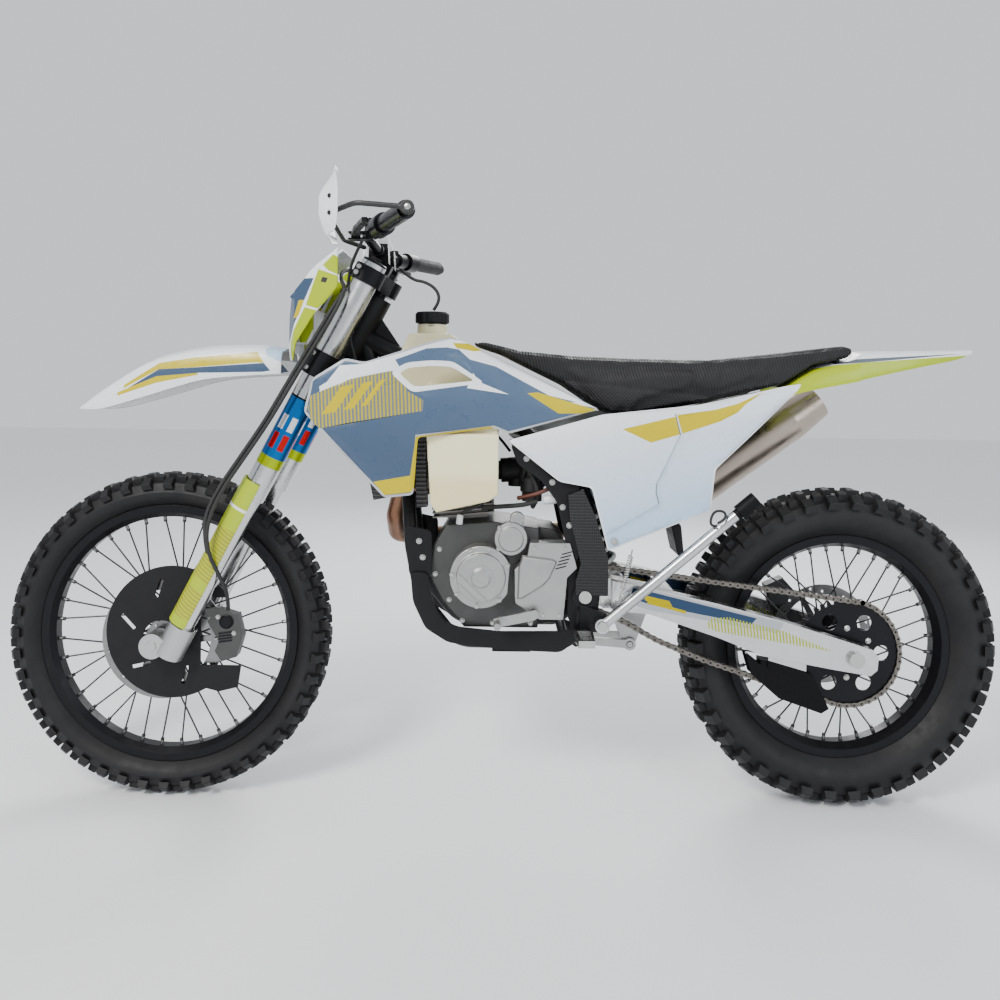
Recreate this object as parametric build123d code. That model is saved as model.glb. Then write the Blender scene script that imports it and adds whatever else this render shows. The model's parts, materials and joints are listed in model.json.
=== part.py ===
from build123d import *
import math
import os

# Off-road motorcycle, millimetres.  +Z is up, the front wheel is towards -X and the
# rider's left side faces -Y.  The origin lies on the ground under the middle of the machine.

os.makedirs("parts", exist_ok=True)

# ------------------------------------------------------------------ driving dimensions
FRONT_AXLE = Vector(-724, 0, 350)
REAR_AXLE = Vector(732, 0, 342.2)
FRONT_TYRE_R = 350.0
REAR_TYRE_R = 342.2
FRONT_TYRE_HALF = 45.0
REAR_TYRE_HALF = 59.0
FRONT_BEAD_R = 266.7            # 21 inch rim
REAR_BEAD_R = 228.6             # 18 inch rim
FRONT_RIM_HALF = 20.3
REAR_RIM_HALF = 27.3
SPOKE_COUNT = 36
AXLE_R = 10.0

RAKE = math.radians(27.1)
FORK_OFFSET = 34.2              # axle ahead of the fork tubes
CLAMP_OFFSET = 22.0             # fork tubes ahead of the steering axis
FORK_Y = 100.0
OUTER_TUBE_R = 27.0
INNER_TUBE_R = 22.5
FORK_TRAVEL = 220.0
LOWER_CLAMP = (650.0, 705.0)
UPPER_CLAMP = (870.0, 905.0)

PIVOT = Vector(170, 0, 466)     # swingarm pivot
CHAIN_Y = -72.0
CHAIN_PITCH = 15.875
FRONT_TEETH = 13
REAR_TEETH = 44
FRONT_SPROCKET = Vector(119, CHAIN_Y, 496)

SHOCK_TOP = Vector(160, 0, 690)
SHOCK_FOOT = Vector(262, 0, 392)
ROCKER_ARM = Vector(312, 0, 432)      # rocker bolt on the swingarm
ROCKER_ROD = Vector(278, 0, 342)      # rocker bolt to the pull rods
ROD_FRAME = Vector(165, 0, 350)       # pull rod bolt on the frame

BAR_R = 11.0
GRIP_R = 17.0
BAR_END_Y = 393.0
GUARD_HALF_WIDTH = 410.0
RUN_FIT = 0.05                  # radial running clearance
SKIN = 4.0                      # moulded panel thickness


# ------------------------------------------------------------------ construction helpers
def prism(points, y0, y1):
    """Side outline (x, z) carried from y0 to y1."""
    face = Face(Wire.make_polygon([Vector(x, y0, z) for x, z in points], close=True))
    return Solid.extrude(face, Vector(0, y1 - y0, 0))


def slab(points, z0, z1):
    """Plan outline (x, y) carried from z0 to z1."""
    face = Face(Wire.make_polygon([Vector(x, y, z0) for x, y in points], close=True))
    return Solid.extrude(face, Vector(0, 0, z1 - z0))


def front_cut(points, x0, x1):
    """Front outline (y, z) carried from x0 to x1."""
    face = Face(Wire.make_polygon([Vector(x0, y, z) for y, z in points], close=True))
    return Solid.extrude(face, Vector(x1 - x0, 0, 0))


def rod(start, end, radius):
    start, end = Vector(*start), Vector(*end)
    return Solid.make_cylinder(radius, (end - start).length, Plane(start, z_dir=end - start))


def pipe(start, end, outer, inner):
    return rod(start, end, outer) - rod(start, end, inner)


def disc(x, z, y0, y1, radius):
    return rod((x, y0, z), (x, y1, z), radius)


def ring(x, z, y0, y1, outer, inner):
    return disc(x, z, y0, y1, outer) - disc(x, z, y0, y1, inner)


def mirrored(shape):
    return shape.mirror(Plane.XZ)


def both(shape):
    return [shape, mirrored(shape)]


def fuse(*shapes):
    return shapes[0].fuse(*shapes[1:]).clean()


def swept(points, radius, bends):
    """Round bar along straight runs joined by tangent arcs of the given radii."""
    path = FilletPolyline(*points, radius=bends)
    section = Plane(path @ 0, z_dir=path % 0) * Circle(radius)
    return sweep(section, path=path).solid()


def cord(name, points, radius):
    """Cable or hose: each arc is as large as its two runs allow."""
    points = [Vector(*p) for p in points]
    bends = []
    for before, here, after in zip(points, points[1:], points[2:]):
        turn = math.radians((here - before).get_angle(after - here))
        shorter = min((here - before).length, (after - here).length)
        bends.append(0.45 * shorter / math.tan(turn / 2))
    path = FilletPolyline(*points, radius=bends)
    solid = sweep(Plane(path @ 0, z_dir=path % 0) * Circle(radius), path=path).solid()
    expected = math.pi * radius**2 * path.length
    print(f"{name}: length {path.length:.0f}, radii {[round(b) for b in bends]},"
          f" volume ratio {solid.volume / expected:.3f}")
    return solid


def wall(centre_line, thickness, z0, z1):
    """Upright skin that follows a plan line (x, y)."""
    line = Polyline(*[(x, y, z0) for x, y in centre_line])
    strip = Face(line.wire().offset_2d(thickness / 2, side=Side.BOTH))
    return Solid.extrude(strip, Vector(0, 0, z1 - z0))


def arch(stations, thickness):
    """Mudguard: each station is (x, half width, crown height, edge height)."""
    def section(x, half, crown, edge):
        rise = crown - edge
        outer = [(-half, edge), (-0.86 * half, edge + 0.62 * rise), (-0.45 * half, crown - 0.07 * rise)]
        inner = [(y * (half - thickness) / half, z - thickness) for y, z in outer]
        line = outer + [(0, crown)] + [(-y, z) for y, z in reversed(outer)]
        back = inner + [(0, crown - thickness)] + [(-y, z) for y, z in reversed(inner)]
        return Wire.make_polygon([Vector(x, y, z) for y, z in line + back[::-1]], close=True)
    return Solid.make_loft([section(*station) for station in stations], ruled=True)


def save(node, *shapes):
    solids = [solid for shape in shapes for solid in shape.solids()]
    export_step(Compound(solids), f"parts/{node}.step")


# ------------------------------------------------------------------ fork reference frame
UP = Vector(math.sin(RAKE), 0, math.cos(RAKE))
AHEAD = Vector(-math.cos(RAKE), 0, math.sin(RAKE))
TUBE_BASE = FRONT_AXLE - AHEAD * FORK_OFFSET
STEER_BASE = TUBE_BASE - AHEAD * CLAMP_OFFSET


def on_tube(t, y=0.0, ahead=0.0):
    """Point at height t along the fork tubes' direction."""
    return TUBE_BASE + UP * t + AHEAD * ahead + Vector(0, y, 0)


def on_steer(t, y=0.0, ahead=0.0):
    return STEER_BASE + UP * t + AHEAD * ahead + Vector(0, y, 0)


def fork_plane(t, y=0.0):
    return Plane(on_tube(t, y), x_dir=AHEAD, z_dir=UP)


def fork_extrude(sketch, t0, t1, y=0.0):
    return extrude(fork_plane(t0, y) * sketch, t1 - t0).solid()


# ------------------------------------------------------------------ wheels
def revolved(face, centre):
    return revolve(face, Axis.Y, 360).solid().moved(Location(centre))


def make_tyre(centre, bead, flange, rim_half, half, crown):
    """Casing with open bead; the crown carries the tread blocks."""
    shoulder = crown - 0.09 * (crown - bead) - 6
    bulge = (bead + crown) / 2
    inner_shoulder = shoulder - 12
    outside = [
        Line((bead, rim_half - 0.5), (flange, rim_half - 0.5)),
        ThreePointArc((flange, rim_half - 0.5), (bulge, half), (shoulder, half - 5)),
        ThreePointArc((shoulder, half - 5), (crown, 0), (shoulder, 5 - half)),
        ThreePointArc((shoulder, 5 - half), (bulge, -half), (flange, 0.5 - rim_half)),
        Line((flange, 0.5 - rim_half), (bead, 0.5 - rim_half)),
    ]
    inside = [
        Line((bead, 0.5 - rim_half), (bead, 8 - rim_half)),
        Line((bead, 8 - rim_half), (flange + 2, 9 - rim_half)),
        ThreePointArc((flange + 2, 9 - rim_half), (bulge + 4, 9 - half), (inner_shoulder, 18 - half)),
        ThreePointArc((inner_shoulder, 18 - half), (crown - 15, 0), (inner_shoulder, half - 18)),
        ThreePointArc((inner_shoulder, half - 18), (bulge + 4, half - 9), (flange + 2, rim_half - 9)),
        Line((flange + 2, rim_half - 9), (bead, rim_half - 8)),
        Line((bead, rim_half - 8), (bead, rim_half - 0.5)),
    ]
    return revolved(Face(Wire(outside + inside)), centre)


def make_rim(centre, bead, rim_half):
    """Drop-centre rim with one radial hole for each nipple."""
    lip = bead + 12.5
    half = [(lip, rim_half), (lip, rim_half + 3.2), (bead - 4, rim_half + 3.2),
            (bead - 14.5, 12), (bead - 14.5, 0)]
    well = [(bead - 10.5, 0), (bead - 10.5, 10), (bead - 0.3, rim_half - 9), (bead - 0.3, rim_half)]
    outline = half[:-1] + [(r, -y) for r, y in reversed(half[:-1])]
    outline += [(r, -y) for r, y in reversed(well[1:])] + well[1:]
    face = Face(Wire.make_polygon([Vector(r, y, 0) for r, y in outline], close=True))
    rim = revolved(face, centre)
    holes = []
    for k in range(SPOKE_COUNT):
        direction = spoke_direction(k)
        holes.append(rod(centre + direction * (bead - 30), centre + direction * (bead + 4), 4))
    return rim.cut(*holes)


def spoke_direction(k):
    angle = 2 * math.pi * (k + 0.5) / SPOKE_COUNT
    return Vector(math.cos(angle), 0, math.sin(angle))


def make_hub(centre, barrel, flange_r, flange_y, bead, ends):
    """Hub barrel, flanges, bearings and laced spokes with their nipples."""
    y0, y1 = ends
    hub = disc(centre.X, centre.Z, y0, y1, barrel)
    for side in (-1, 1):
        hub = hub + disc(centre.X, centre.Z, side * (flange_y - 3), side * (flange_y + 3), flange_r + 7)
    spokes = []
    for k in range(SPOKE_COUNT):
        side = 1 if k % 2 else -1
        lead = 1 if (k // 2) % 2 else -1
        rim_angle = 2 * math.pi * (k + 0.5) / SPOKE_COUNT
        hub_angle = rim_angle + lead * math.radians(58)
        start = centre + Vector(flange_r * math.cos(hub_angle), side * flange_y + lead * 2,
                                flange_r * math.sin(hub_angle))
        out = spoke_direction(k)
        seat = centre + out * (bead - 22) + Vector(0, side * 2, 0)
        spokes.append(rod(start, seat, 1.8))
        spokes.append(rod(centre + out * (bead - 27), centre + out * (bead - 8), 3.9))
    hub = hub.fuse(*spokes)
    return hub - disc(centre.X, centre.Z, y0 - 1, y1 + 1, AXLE_R + RUN_FIT)


def make_brake_disc(centre, y, thickness, outer, inner, hub_r):
    """Braking ring on six arms, with drilled ventilation holes."""
    y0, y1 = y - thickness / 2, y + thickness / 2
    plate = ring(centre.X, centre.Z, y0, y1, outer, inner)
    plate = plate + ring(centre.X, centre.Z, y0, y1, hub_r + 12, hub_r)
    arms = []
    holes = []
    for k in range(6):
        turn = Location(centre) * Rotation(0, 60 * k, 0)
        arms.append(turn * Pos((hub_r + 8 + inner + 4) / 2, y, 0) * Box(inner - hub_r - 4, thickness, 13))
    for k in range(24):
        angle = 2 * math.pi * k / 24
        radius = (outer + inner) / 2 + (4 if k % 2 else -4)
        x, z = centre.X + radius * math.cos(angle), centre.Z + radius * math.sin(angle)
        holes.append(disc(x, z, y0 - 1, y1 + 1, 3.2))
    return plate.fuse(*arms).cut(*holes)


def make_sprocket(centre, teeth, thickness, bore, windows=0):
    """Toothed disc; tooth gaps lie on the pitch circle."""
    pitch_r = CHAIN_PITCH / (2 * math.sin(math.pi / teeth))
    tip, root = pitch_r + 4.5, pitch_r - 5.2
    outline = []
    for k in range(teeth):
        for offset, radius in ((-0.32, root), (-0.10, tip), (0.10, tip), (0.32, root)):
            angle = 2 * math.pi * (k + 0.5 + offset) / teeth
            outline.append((centre.X + radius * math.cos(angle), centre.Z + radius * math.sin(angle)))
    half = thickness / 2
    plate = prism(outline, centre.Y - half, centre.Y + half)
    cuts = [disc(centre.X, centre.Z, centre.Y - 9, centre.Y + 9, bore)]
    for k in range(windows):
        angle = 2 * math.pi * k / windows
        x = centre.X + 0.66 * pitch_r * math.cos(angle)
        z = centre.Z + 0.66 * pitch_r * math.sin(angle)
        cuts.append(disc(x, z, centre.Y - 9, centre.Y + 9, 0.15 * pitch_r))
    return plate.cut(*cuts)


def front_wheel():
    c = FRONT_AXLE
    save("front_tyre", make_tyre(c, FRONT_BEAD_R, FRONT_BEAD_R + 13, FRONT_RIM_HALF, FRONT_TYRE_HALF,
                                 FRONT_TYRE_R))
    save("front_rim", make_rim(c, FRONT_BEAD_R, FRONT_RIM_HALF))
    save("front_hub_and_spokes", make_hub(c, 24, 34, 32, FRONT_BEAD_R, (-66, 66)))
    save("front_disc", make_brake_disc(c, -57, 4, 130, 102, 24.3))


def rear_wheel():
    c = REAR_AXLE
    save("rear_tyre", make_tyre(c, REAR_BEAD_R, REAR_BEAD_R + 13, REAR_RIM_HALF, REAR_TYRE_HALF,
                                REAR_TYRE_R))
    save("rear_rim", make_rim(c, REAR_BEAD_R, REAR_RIM_HALF))
    save("rear_hub_and_spokes", make_hub(c, 28, 44, 40, REAR_BEAD_R, (-86, 86)))
    save("rear_sprocket", make_sprocket(Vector(c.X, CHAIN_Y, c.Z), REAR_TEETH, 5, 28.3, 6))
    save("rear_disc", make_brake_disc(c, 68, 4, 112, 90, 28.3))


# ------------------------------------------------------------------ fork and front end
def fork():
    outer, inner, feet, guards = [], [], [], []
    for side in (-1, 1):
        y = side * FORK_Y
        tube = fork_extrude(Circle(OUTER_TUBE_R), 363, 915, y)
        tube = tube - fork_extrude(Circle(INNER_TUBE_R + RUN_FIT), 363, 908, y)
        outer.append(tube)
        leg = fork_extrude(Circle(INNER_TUBE_R), 20, 640, y)
        foot = fork_extrude(Circle(30), -8, 62, y)
        lug = rod(FRONT_AXLE + Vector(0, y - side * 22, 0), FRONT_AXLE + Vector(0, y + side * 24, 0), 26)
        inner.append(fuse(leg, foot, lug) - rod(FRONT_AXLE + Vector(0, y - 40, 0),
                                                FRONT_AXLE + Vector(0, y + 40, 0), AXLE_R + RUN_FIT))
        shell = Circle(33.5) - Circle(30.3)
        front_half = Pos(14, -side * 12) * Rectangle(50, 70)
        guards.append(fork_extrude(shell & front_half, 66, 400, y))
    axle = rod(FRONT_AXLE + Vector(0, -126, 0), FRONT_AXLE + Vector(0, 126, 0), AXLE_R)
    save("fork_outer_tubes", *outer)
    save("fork_inner_tubes", *inner, axle)
    save("fork_guards", *guards)


def triple_clamps():
    def yoke(low, high):
        plate = Pos(-CLAMP_OFFSET, 0) * Circle(36)
        for side in (-1, 1):
            plate += Pos(0, side * FORK_Y) * Circle(34)
        plate += Polygon((-CLAMP_OFFSET - 24, -40), (-18, -112), (26, -112), (26, 112),
                         (-18, 112), (-CLAMP_OFFSET - 24, 40), align=None)
        for side in (-1, 1):
            plate -= Pos(0, side * FORK_Y) * Circle(OUTER_TUBE_R)
        return fork_extrude(plate, low, high)
    stem = rod(on_steer(LOWER_CLAMP[0]), on_steer(UPPER_CLAMP[1] + 14), 15)
    risers = [fork_extrude(Pos(-12, side * 52) * Rectangle(34, 26), UPPER_CLAMP[1], UPPER_CLAMP[1] + 26)
              for side in (-1, 1)]
    bar_clear = rod((-274, -90, 1182), (-274, 90, 1182), 14.3)
    caps = [prism([(-296, 1156), (-252, 1156), (-254, 1198), (-294, 1198)], side * 52 - 13, side * 52 + 13)
            for side in (-1, 1)]
    save("triple_clamps", fuse(yoke(*LOWER_CLAMP), yoke(*UPPER_CLAMP), stem, *risers, *caps) - bar_clear)


def bar_point(y):
    """Point on the handlebar grip line, for either side."""
    reach = (abs(y) - 225) / 175
    return Vector(-255 + 80 * reach, y, 1201 + 6 * reach)


def handlebar():
    left = [(-274, 0, 1182), (-274, -92, 1182), bar_point(-160), bar_point(-BAR_END_Y)]
    half = swept(left, BAR_R, [40, 40])
    bar = fuse(half, mirrored(half), rod((-274, -90, 1182), (-274, 90, 1182), 14.25))
    grip = pipe(bar_point(-278), bar_point(-388), GRIP_R, BAR_R)
    save("handlebar", bar, grip)
    save("throttle_grip", mirrored(pipe(bar_point(-279), bar_point(-388), GRIP_R, BAR_R + RUN_FIT)))


def perches():
    """Lever brackets, switch and throttle housings, with a mirror thread on each side."""
    parts = []
    for side in (-1, 1):
        ring_part = rod(bar_point(side * 200), bar_point(side * 228), 17)
        arm = slab([(-262, side * 196), (-312, side * 192), (-312, side * 218), (-262, side * 226)],
                   1181, 1197)
        boss = Solid.make_cylinder(9, 30, Plane((-272, side * 208, 1194)))
        reservoir = Solid.make_cylinder(15, 26, Plane((-309, 184, 1186))) if side > 0 else None
        shapes = [arm, boss] + ([reservoir, slab([(-308, 188), (-296, 188), (-296, 202), (-308, 202)],
                                                 1188, 1197)] if reservoir else [])
        solid = fuse(ring_part, *shapes)
        solid = solid - rod(bar_point(side * 190), bar_point(side * 240), BAR_R)
        solid = solid - Solid.make_cylinder(5, 12, Plane((-272, side * 208, 1212)))
        slot = slab([(-320, side * 188), (-277, side * 188), (-277, side * 232), (-320, side * 232)],
                    1184.4, 1193.6)
        solid = solid - slot
        pin = Solid.make_cylinder(3.5, 16, Plane((-300, side * 205, 1181)))
        parts.append(fuse(solid, pin))
        housing = rod(bar_point(side * 236), bar_point(side * 272), 22)
        housing = housing - rod(bar_point(side * 230), bar_point(side * 277), BAR_R)
        if side < 0:
            housing = housing - rod(button_point(-6.5), button_point(9), 5.4)
        parts.append(housing)
    save("control_perches", *parts)


def button_point(offset):
    """Start button axis, pointing rearwards out of the switch housing."""
    return bar_point(-254) + Vector(21 + offset, 0, 0)


def levers():
    blade = [(-307, -199), (-292, -198), (-288, -214), (-278, -285), (-249, -372), (-250, -384),
             (-259, -384), (-290, -290), (-306, -222)]
    lever = slab(blade, 1185, 1193) - Solid.make_cylinder(3.6, 20, Plane((-300, -205, 1178)))
    save("clutch_lever", lever)
    save("front_brake_lever", mirrored(lever))
    save("start_button", rod(button_point(-4), button_point(6), 5.2))


def hand_guards():
    spine = swept([(-191, -404.5, 1208.5), (-268, -404.5, 1214), (-326, -350, 1205), (-332, -150, 1190),
                   (-296, -102, 1183)], 5, [34, 40, 30])
    plug = rod((-177, -398.5, 1207), (-177, -410, 1207), 13)
    shell = wall([(-300, -399), (-340, -352), (-350, -280), (-346, -190)], 4, 1150, 1295)
    outline = front_cut([(-412, 1196), (-404, 1262), (-372, 1288), (-336, 1289), (-292, 1262),
                         (-200, 1236), (-186, 1206), (-196, 1172), (-290, 1158), (-390, 1166)], -420, -200)
    guard = [spine, plug, shell & outline]
    save("hand_guards", *guard, *[mirrored(piece) for piece in guard])


def headlight_mask():
    outline = [(-408, 1137), (-460, 1081), (-468, 1040), (-473, 985), (-462, 946), (-450, 946),
               (-442, 983), (-402, 1040), (-356, 1092), (-330, 1140), (-316, 1181), (-350, 1184)]
    shell = wall([(-352, -111), (-400, -106), (-446, -82), (-466, -40), (-468, 0), (-466, 40),
                  (-446, 82), (-400, 106), (-352, 111)], SKIN, 940, 1190)
    fascia = prism(outline, -115, 115)
    body = shell & fascia
    brow = prism([(-460, 1081), (-408, 1137), (-350, 1184), (-345, 1180), (-404, 1132), (-456, 1077)],
                 -78, 78)
    lamp = slab([(-461, -38), (-461, 38), (-436, 60), (-412, 60), (-412, -60), (-436, -60)], 985, 1060)
    save("headlight_mask", body, brow - body, lamp)


def front_fender():
    stations = [(-922, 34, 841, 836), (-867, 62, 881, 835), (-762, 78, 949, 866), (-641, 82, 975, 905),
                (-531, 84, 979, 914), (-475, 80, 971, 917)]
    save("front_fender", arch(stations, SKIN))


def front_brake():
    body = prism([(-622, 392), (-600, 420), (-560, 408), (-548, 360), (-560, 318), (-592, 308),
                  (-606, 330), (-598, 350)], -82, -60.5)
    inboard = prism([(-614, 392), (-600, 416), (-566, 404), (-556, 360), (-566, 322), (-590, 316)],
                    -53.5, -50)
    bridge = prism([(-566, 404), (-556, 360), (-566, 322), (-560, 318), (-548, 360), (-560, 408)],
                   -60.5, -53.5)
    lug = prism([(-628, 420), (-600, 420), (-600, 400), (-628, 402)], -82, -72)
    save("front_caliper", fuse(body, inboard, bridge, lug))
    plate = disc(-701, 366, -69.5, -66.7, 140) - disc(FRONT_AXLE.X, FRONT_AXLE.Z, -80, -60, 40)
    rear_lobe = prism([(-600, 290), (-552, 308), (-560, 250), (-600, 240), (-640, 250)], -69.5, -66.7)
    caliper_room = prism([(-640, 440), (-540, 440), (-540, 296), (-640, 296)], -90, -60)
    slots = []
    for k in range(6):
        turn = Location((-701, -70, 366)) * Rotation(0, 60 * k + 12, 0)
        slots.append(turn * Pos(96, 0, 0) * Rotation(0, 35, 0) * Box(40, 12, 8))
    save("disc_guard", (plate.fuse(rear_lobe)).cut(caliper_room, *slots))


HOSE_R = 4.0
FRONT_HOSE = [(-578, -84, 418), (-572, -104, 454), (-582, -132, 500), (-602, -148, 550), (-604, -152, 608),
              (-576, -150, 676), (-528, -147, 748), (-482, -144, 818), (-444, -145, 884), (-408, -146, 946),
              (-372, -148, 1006), (-344, -146, 1056), (-332, -126, 1094), (-350, -90, 1120),
              (-354, -44, 1140), (-348, 12, 1152), (-338, 68, 1153), (-322, 120, 1154), (-311, 164, 1160),
              (-311, 182, 1181)]
CLUTCH_CABLE = [(-286, -190, 1189), (-295, -168, 1181), (-310, -138, 1165), (-326, -106, 1142),
                (-334, -86, 1106), (-344, -66, 1056), (-336, -54, 1000), (-320, -47, 938), (-296, -45, 874),
                (-268, -47, 812), (-240, -50, 758), (-220, -60, 712), (-196, -68, 686), (-166, -70, 664)]
THROTTLE_CABLE = [(-265, 252, 1185), (-278, 236, 1170), (-298, 206, 1158), (-316, 166, 1150),
                  (-328, 122, 1138), (-340, 90, 1104), (-344, 70, 1056), (-336, 57, 1000), (-320, 50, 940),
                  (-292, 46, 884), (-248, 45, 846), (-190, 45, 834), (-126, 47, 832), (-66, 47, 820),
                  (-16, 40, 792), (14, 26, 752)]
VENT_HOSE = [(-160, 0, 1063), (-146, 0, 1082), (-152, 2, 1108), (-178, 4, 1126), (-210, 4, 1130),
             (-232, 2, 1152)]


def cables():
    hose = cord("front_brake_hose", FRONT_HOSE, HOSE_R)
    save("front_brake_hose", hose)
    save("control_cables", cord("clutch_cable", CLUTCH_CABLE, 3.2),
         cord("throttle_cable", THROTTLE_CABLE, 3.2), cord("vent_hose", VENT_HOSE, 3.5))


# ------------------------------------------------------------------ frame and bodywork
def side_pipe(side):
    """Cradle: from the backbone down past the pivot, forward under the engine, up to the down tube."""
    y = side
    return swept([(10, y * 18, 826), (78, y * 84, 776), (148, y * 108, 650), (186, y * 112, 548),
                  (170, y * 112, 448), (146, y * 96, 361), (-96, y * 86, 361), (-172, y * 84, 452),
                  (-194, y * 80, 560), (-205, y * 48, 668), (-238, y * 8, 742)],
                 14, [34, 70, 90, 90, 44, 70, 90, 90, 70])


def main_frame():
    head = rod(on_steer(715), on_steer(860), 32)
    head_bore = rod(on_steer(700), on_steer(880), 26)
    backbone = rod(on_steer(768), (40, 0, 808), 22)
    down = rod(on_steer(780), (-232, 0, 728), 19)
    pipes = both(side_pipe(-1))
    plate = prism([(134, 524), (196, 524), (202, 470), (196, 400), (150, 390), (136, 420)], -118, -106)
    boss = disc(PIVOT.X, PIVOT.Z, -126, -99, 26)
    stand_bracket = prism([(160, 452), (214, 432), (222, 408), (206, 394), (160, 396)], -131, -121)
    peg_left = slab([(150, -147), (180, -147), (180, -110), (150, -110)], 389, 401)
    shock_cross = disc(128, 680, -106, 106, 11)
    clevis = prism([(122, 672), (158, 678), (173, 690), (160, 704), (120, 692)], 15, 22)
    rod_cross = disc(132, 366, -96, 96, 11)
    rod_lug = prism([(124, 360), (160, 338), (178, 346), (174, 362), (132, 376)], 40, 47)
    gusset = prism([on_steer_xz(838), (-218, 962), (-262, 980), on_steer_xz(742)], -5, 5)
    pedal_boss = disc(118, 368, 92, 123, 13)
    lift_pad = slab([(-20, -101), (60, -101), (60, -80), (-20, -80)], 343, 352)
    solid = fuse(head, backbone, down, *pipes, *both(plate), *both(boss), stand_bracket,
                 mirrored(peg_left), peg_left, shock_cross, *both(clevis), rod_cross, *both(rod_lug),
                 gusset, pedal_boss, *both(lift_pad))
    solid = solid.cut(head_bore, disc(PIVOT.X, PIVOT.Z, -140, 140, 9),
                      disc(SHOCK_TOP.X, SHOCK_TOP.Z, -40, 40, 6), disc(ROD_FRAME.X, ROD_FRAME.Z, -60, 60, 6),
                      disc(204, 412, -150, -100, 6), disc(118, 368, 80, 140, 5),
                      rod((140, -145, 395), (190, -145, 395), 3), rod((140, 145, 395), (190, 145, 395), 3),
                      slab([(157, -150), (173, -150), (173, -133), (157, -133)], 380, 410),
                      slab([(157, 150), (173, 150), (173, 133), (157, 133)], 380, 410))
    bearings = [pipe(on_steer(a), on_steer(b), 26, 15 + RUN_FIT) for a, b in ((716, 732), (843, 859))]
    save("main_frame", solid, *bearings)


def on_steer_xz(t):
    point = on_steer(t)
    return (point.X, point.Z)


def frame_bolts():
    pivot_bolt = fuse(disc(PIVOT.X, PIVOT.Z, -126, 126, 9), disc(PIVOT.X, PIVOT.Z, -134, -126, 13),
                      disc(PIVOT.X, PIVOT.Z, 126, 134, 13))
    shock_bolt = disc(SHOCK_TOP.X, SHOCK_TOP.Z, -27, 27, 6)
    rod_bolt = disc(ROD_FRAME.X, ROD_FRAME.Z, -54, 54, 6)
    stand_bolt = fuse(disc(204, 412, -153, -121, 6), disc(204, 412, -158, -153, 10))
    pedal_bolt = fuse(disc(118, 368, 92, 139, 5), disc(118, 368, 139, 144, 9))
    peg_pins = both(rod((148, -145, 395), (182, -145, 395), 3))
    save("frame_bolts", pivot_bolt, shock_bolt, rod_bolt, stand_bolt, pedal_bolt, *peg_pins)


def subframe():
    rails = both(swept([(102, -100, 782), (252, -86, 818), (432, -84, 850), (588, -78, 884)], 10,
                       [200, 200]))
    stays = both(rod((204, -100, 590), (560, -80, 866), 9))
    ties = [disc(256, 818, -86, 86, 8), disc(560, 878, -78, 78, 8)]
    save("subframe", fuse(*rails, *stays, *ties))


def engine():
    case = prism([(-146, 560), (-160, 500), (-126, 442), (-80, 388), (76, 388), (76, 598), (-20, 612),
                  (-120, 604)], -84, 84)
    rear = prism([(70, 388), (108, 392), (132, 426), (136, 560), (110, 592), (70, 598)], -58, 70)
    clutch_cover = fuse(disc(20, 500, 84, 112, 78), disc(20, 500, 112, 118, 58))
    generator_gap = disc(64, 433, -90, -60, 6.4)
    output_shaft = disc(FRONT_SPROCKET.X, FRONT_SPROCKET.Z, -62, -50, 15)
    save("crankcase", (fuse(case, rear, clutch_cover) - generator_gap).cut(output_shaft),
         fuse(disc(FRONT_SPROCKET.X, FRONT_SPROCKET.Z, -79, -52, 11),
              disc(FRONT_SPROCKET.X, FRONT_SPROCKET.Z, -62.2, -50, 14.9)))
    flywheel = fuse(disc(-45, 503, -126, -84, 64.5), disc(-45, 503, -135, -126, 50),
                    disc(-45, 503, -139, -135, 19))
    notch = prism([(18, 570), (40, 570), (40, 440), (8, 440)], -150, -80)
    save("flywheel_cover", flywheel - notch)
    cover = prism([(24, 520), (50, 546), (55, 576), (138, 576), (153, 525), (133, 505), (126, 418),
                   (77, 418), (26, 452)], -130, -84.2)
    hollow = prism([(58, 560), (130, 564), (160, 522), (160, 500), (118, 426), (92, 428), (74, 460),
                    (62, 500)], -122, -80)
    lever_hole = disc(64, 433, -135, -80, 7.5)
    flywheel_room = disc(-45, 503, -140, -80, 66)
    save("sprocket_cover", cover.cut(hollow, lever_hole, flywheel_room))
    starter = fuse(disc(16, 581, -118, -84.3, 34), disc(29, 620, -106, -84.3, 15),
                   disc(16, 581, -122, -118, 25))
    save("starter_motor", starter)


def cylinder():
    tilt = Location((-84, 0, 612)) * Rotation(0, -6, 0)
    core = tilt * Pos(0, 0, 52) * Box(104, 96, 104)
    fins = [tilt * Pos(0, 0, 10 + 9 * k) * Box(132, 124, 3) for k in range(11)]
    head = tilt * Pos(2, 0, 128) * Box(118, 112, 48)
    cover = tilt * Pos(0, 0, 163) * Box(96, 88, 22)
    spark = tilt * Pos(10, 0, 112) * rod((0, -70, 0), (0, -40, 0), 8)
    port = rod((-140, 0, 690), (-178, 0, 684), 24)
    foot = tilt * Pos(0, 0, 2) * Box(110, 104, 8)
    body = fuse(core, *fins, head, cover, spark, port)
    save("cylinder_and_head", body - prism([(-200, 613), (40, 613), (40, 500), (-200, 500)], -90, 90))


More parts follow.
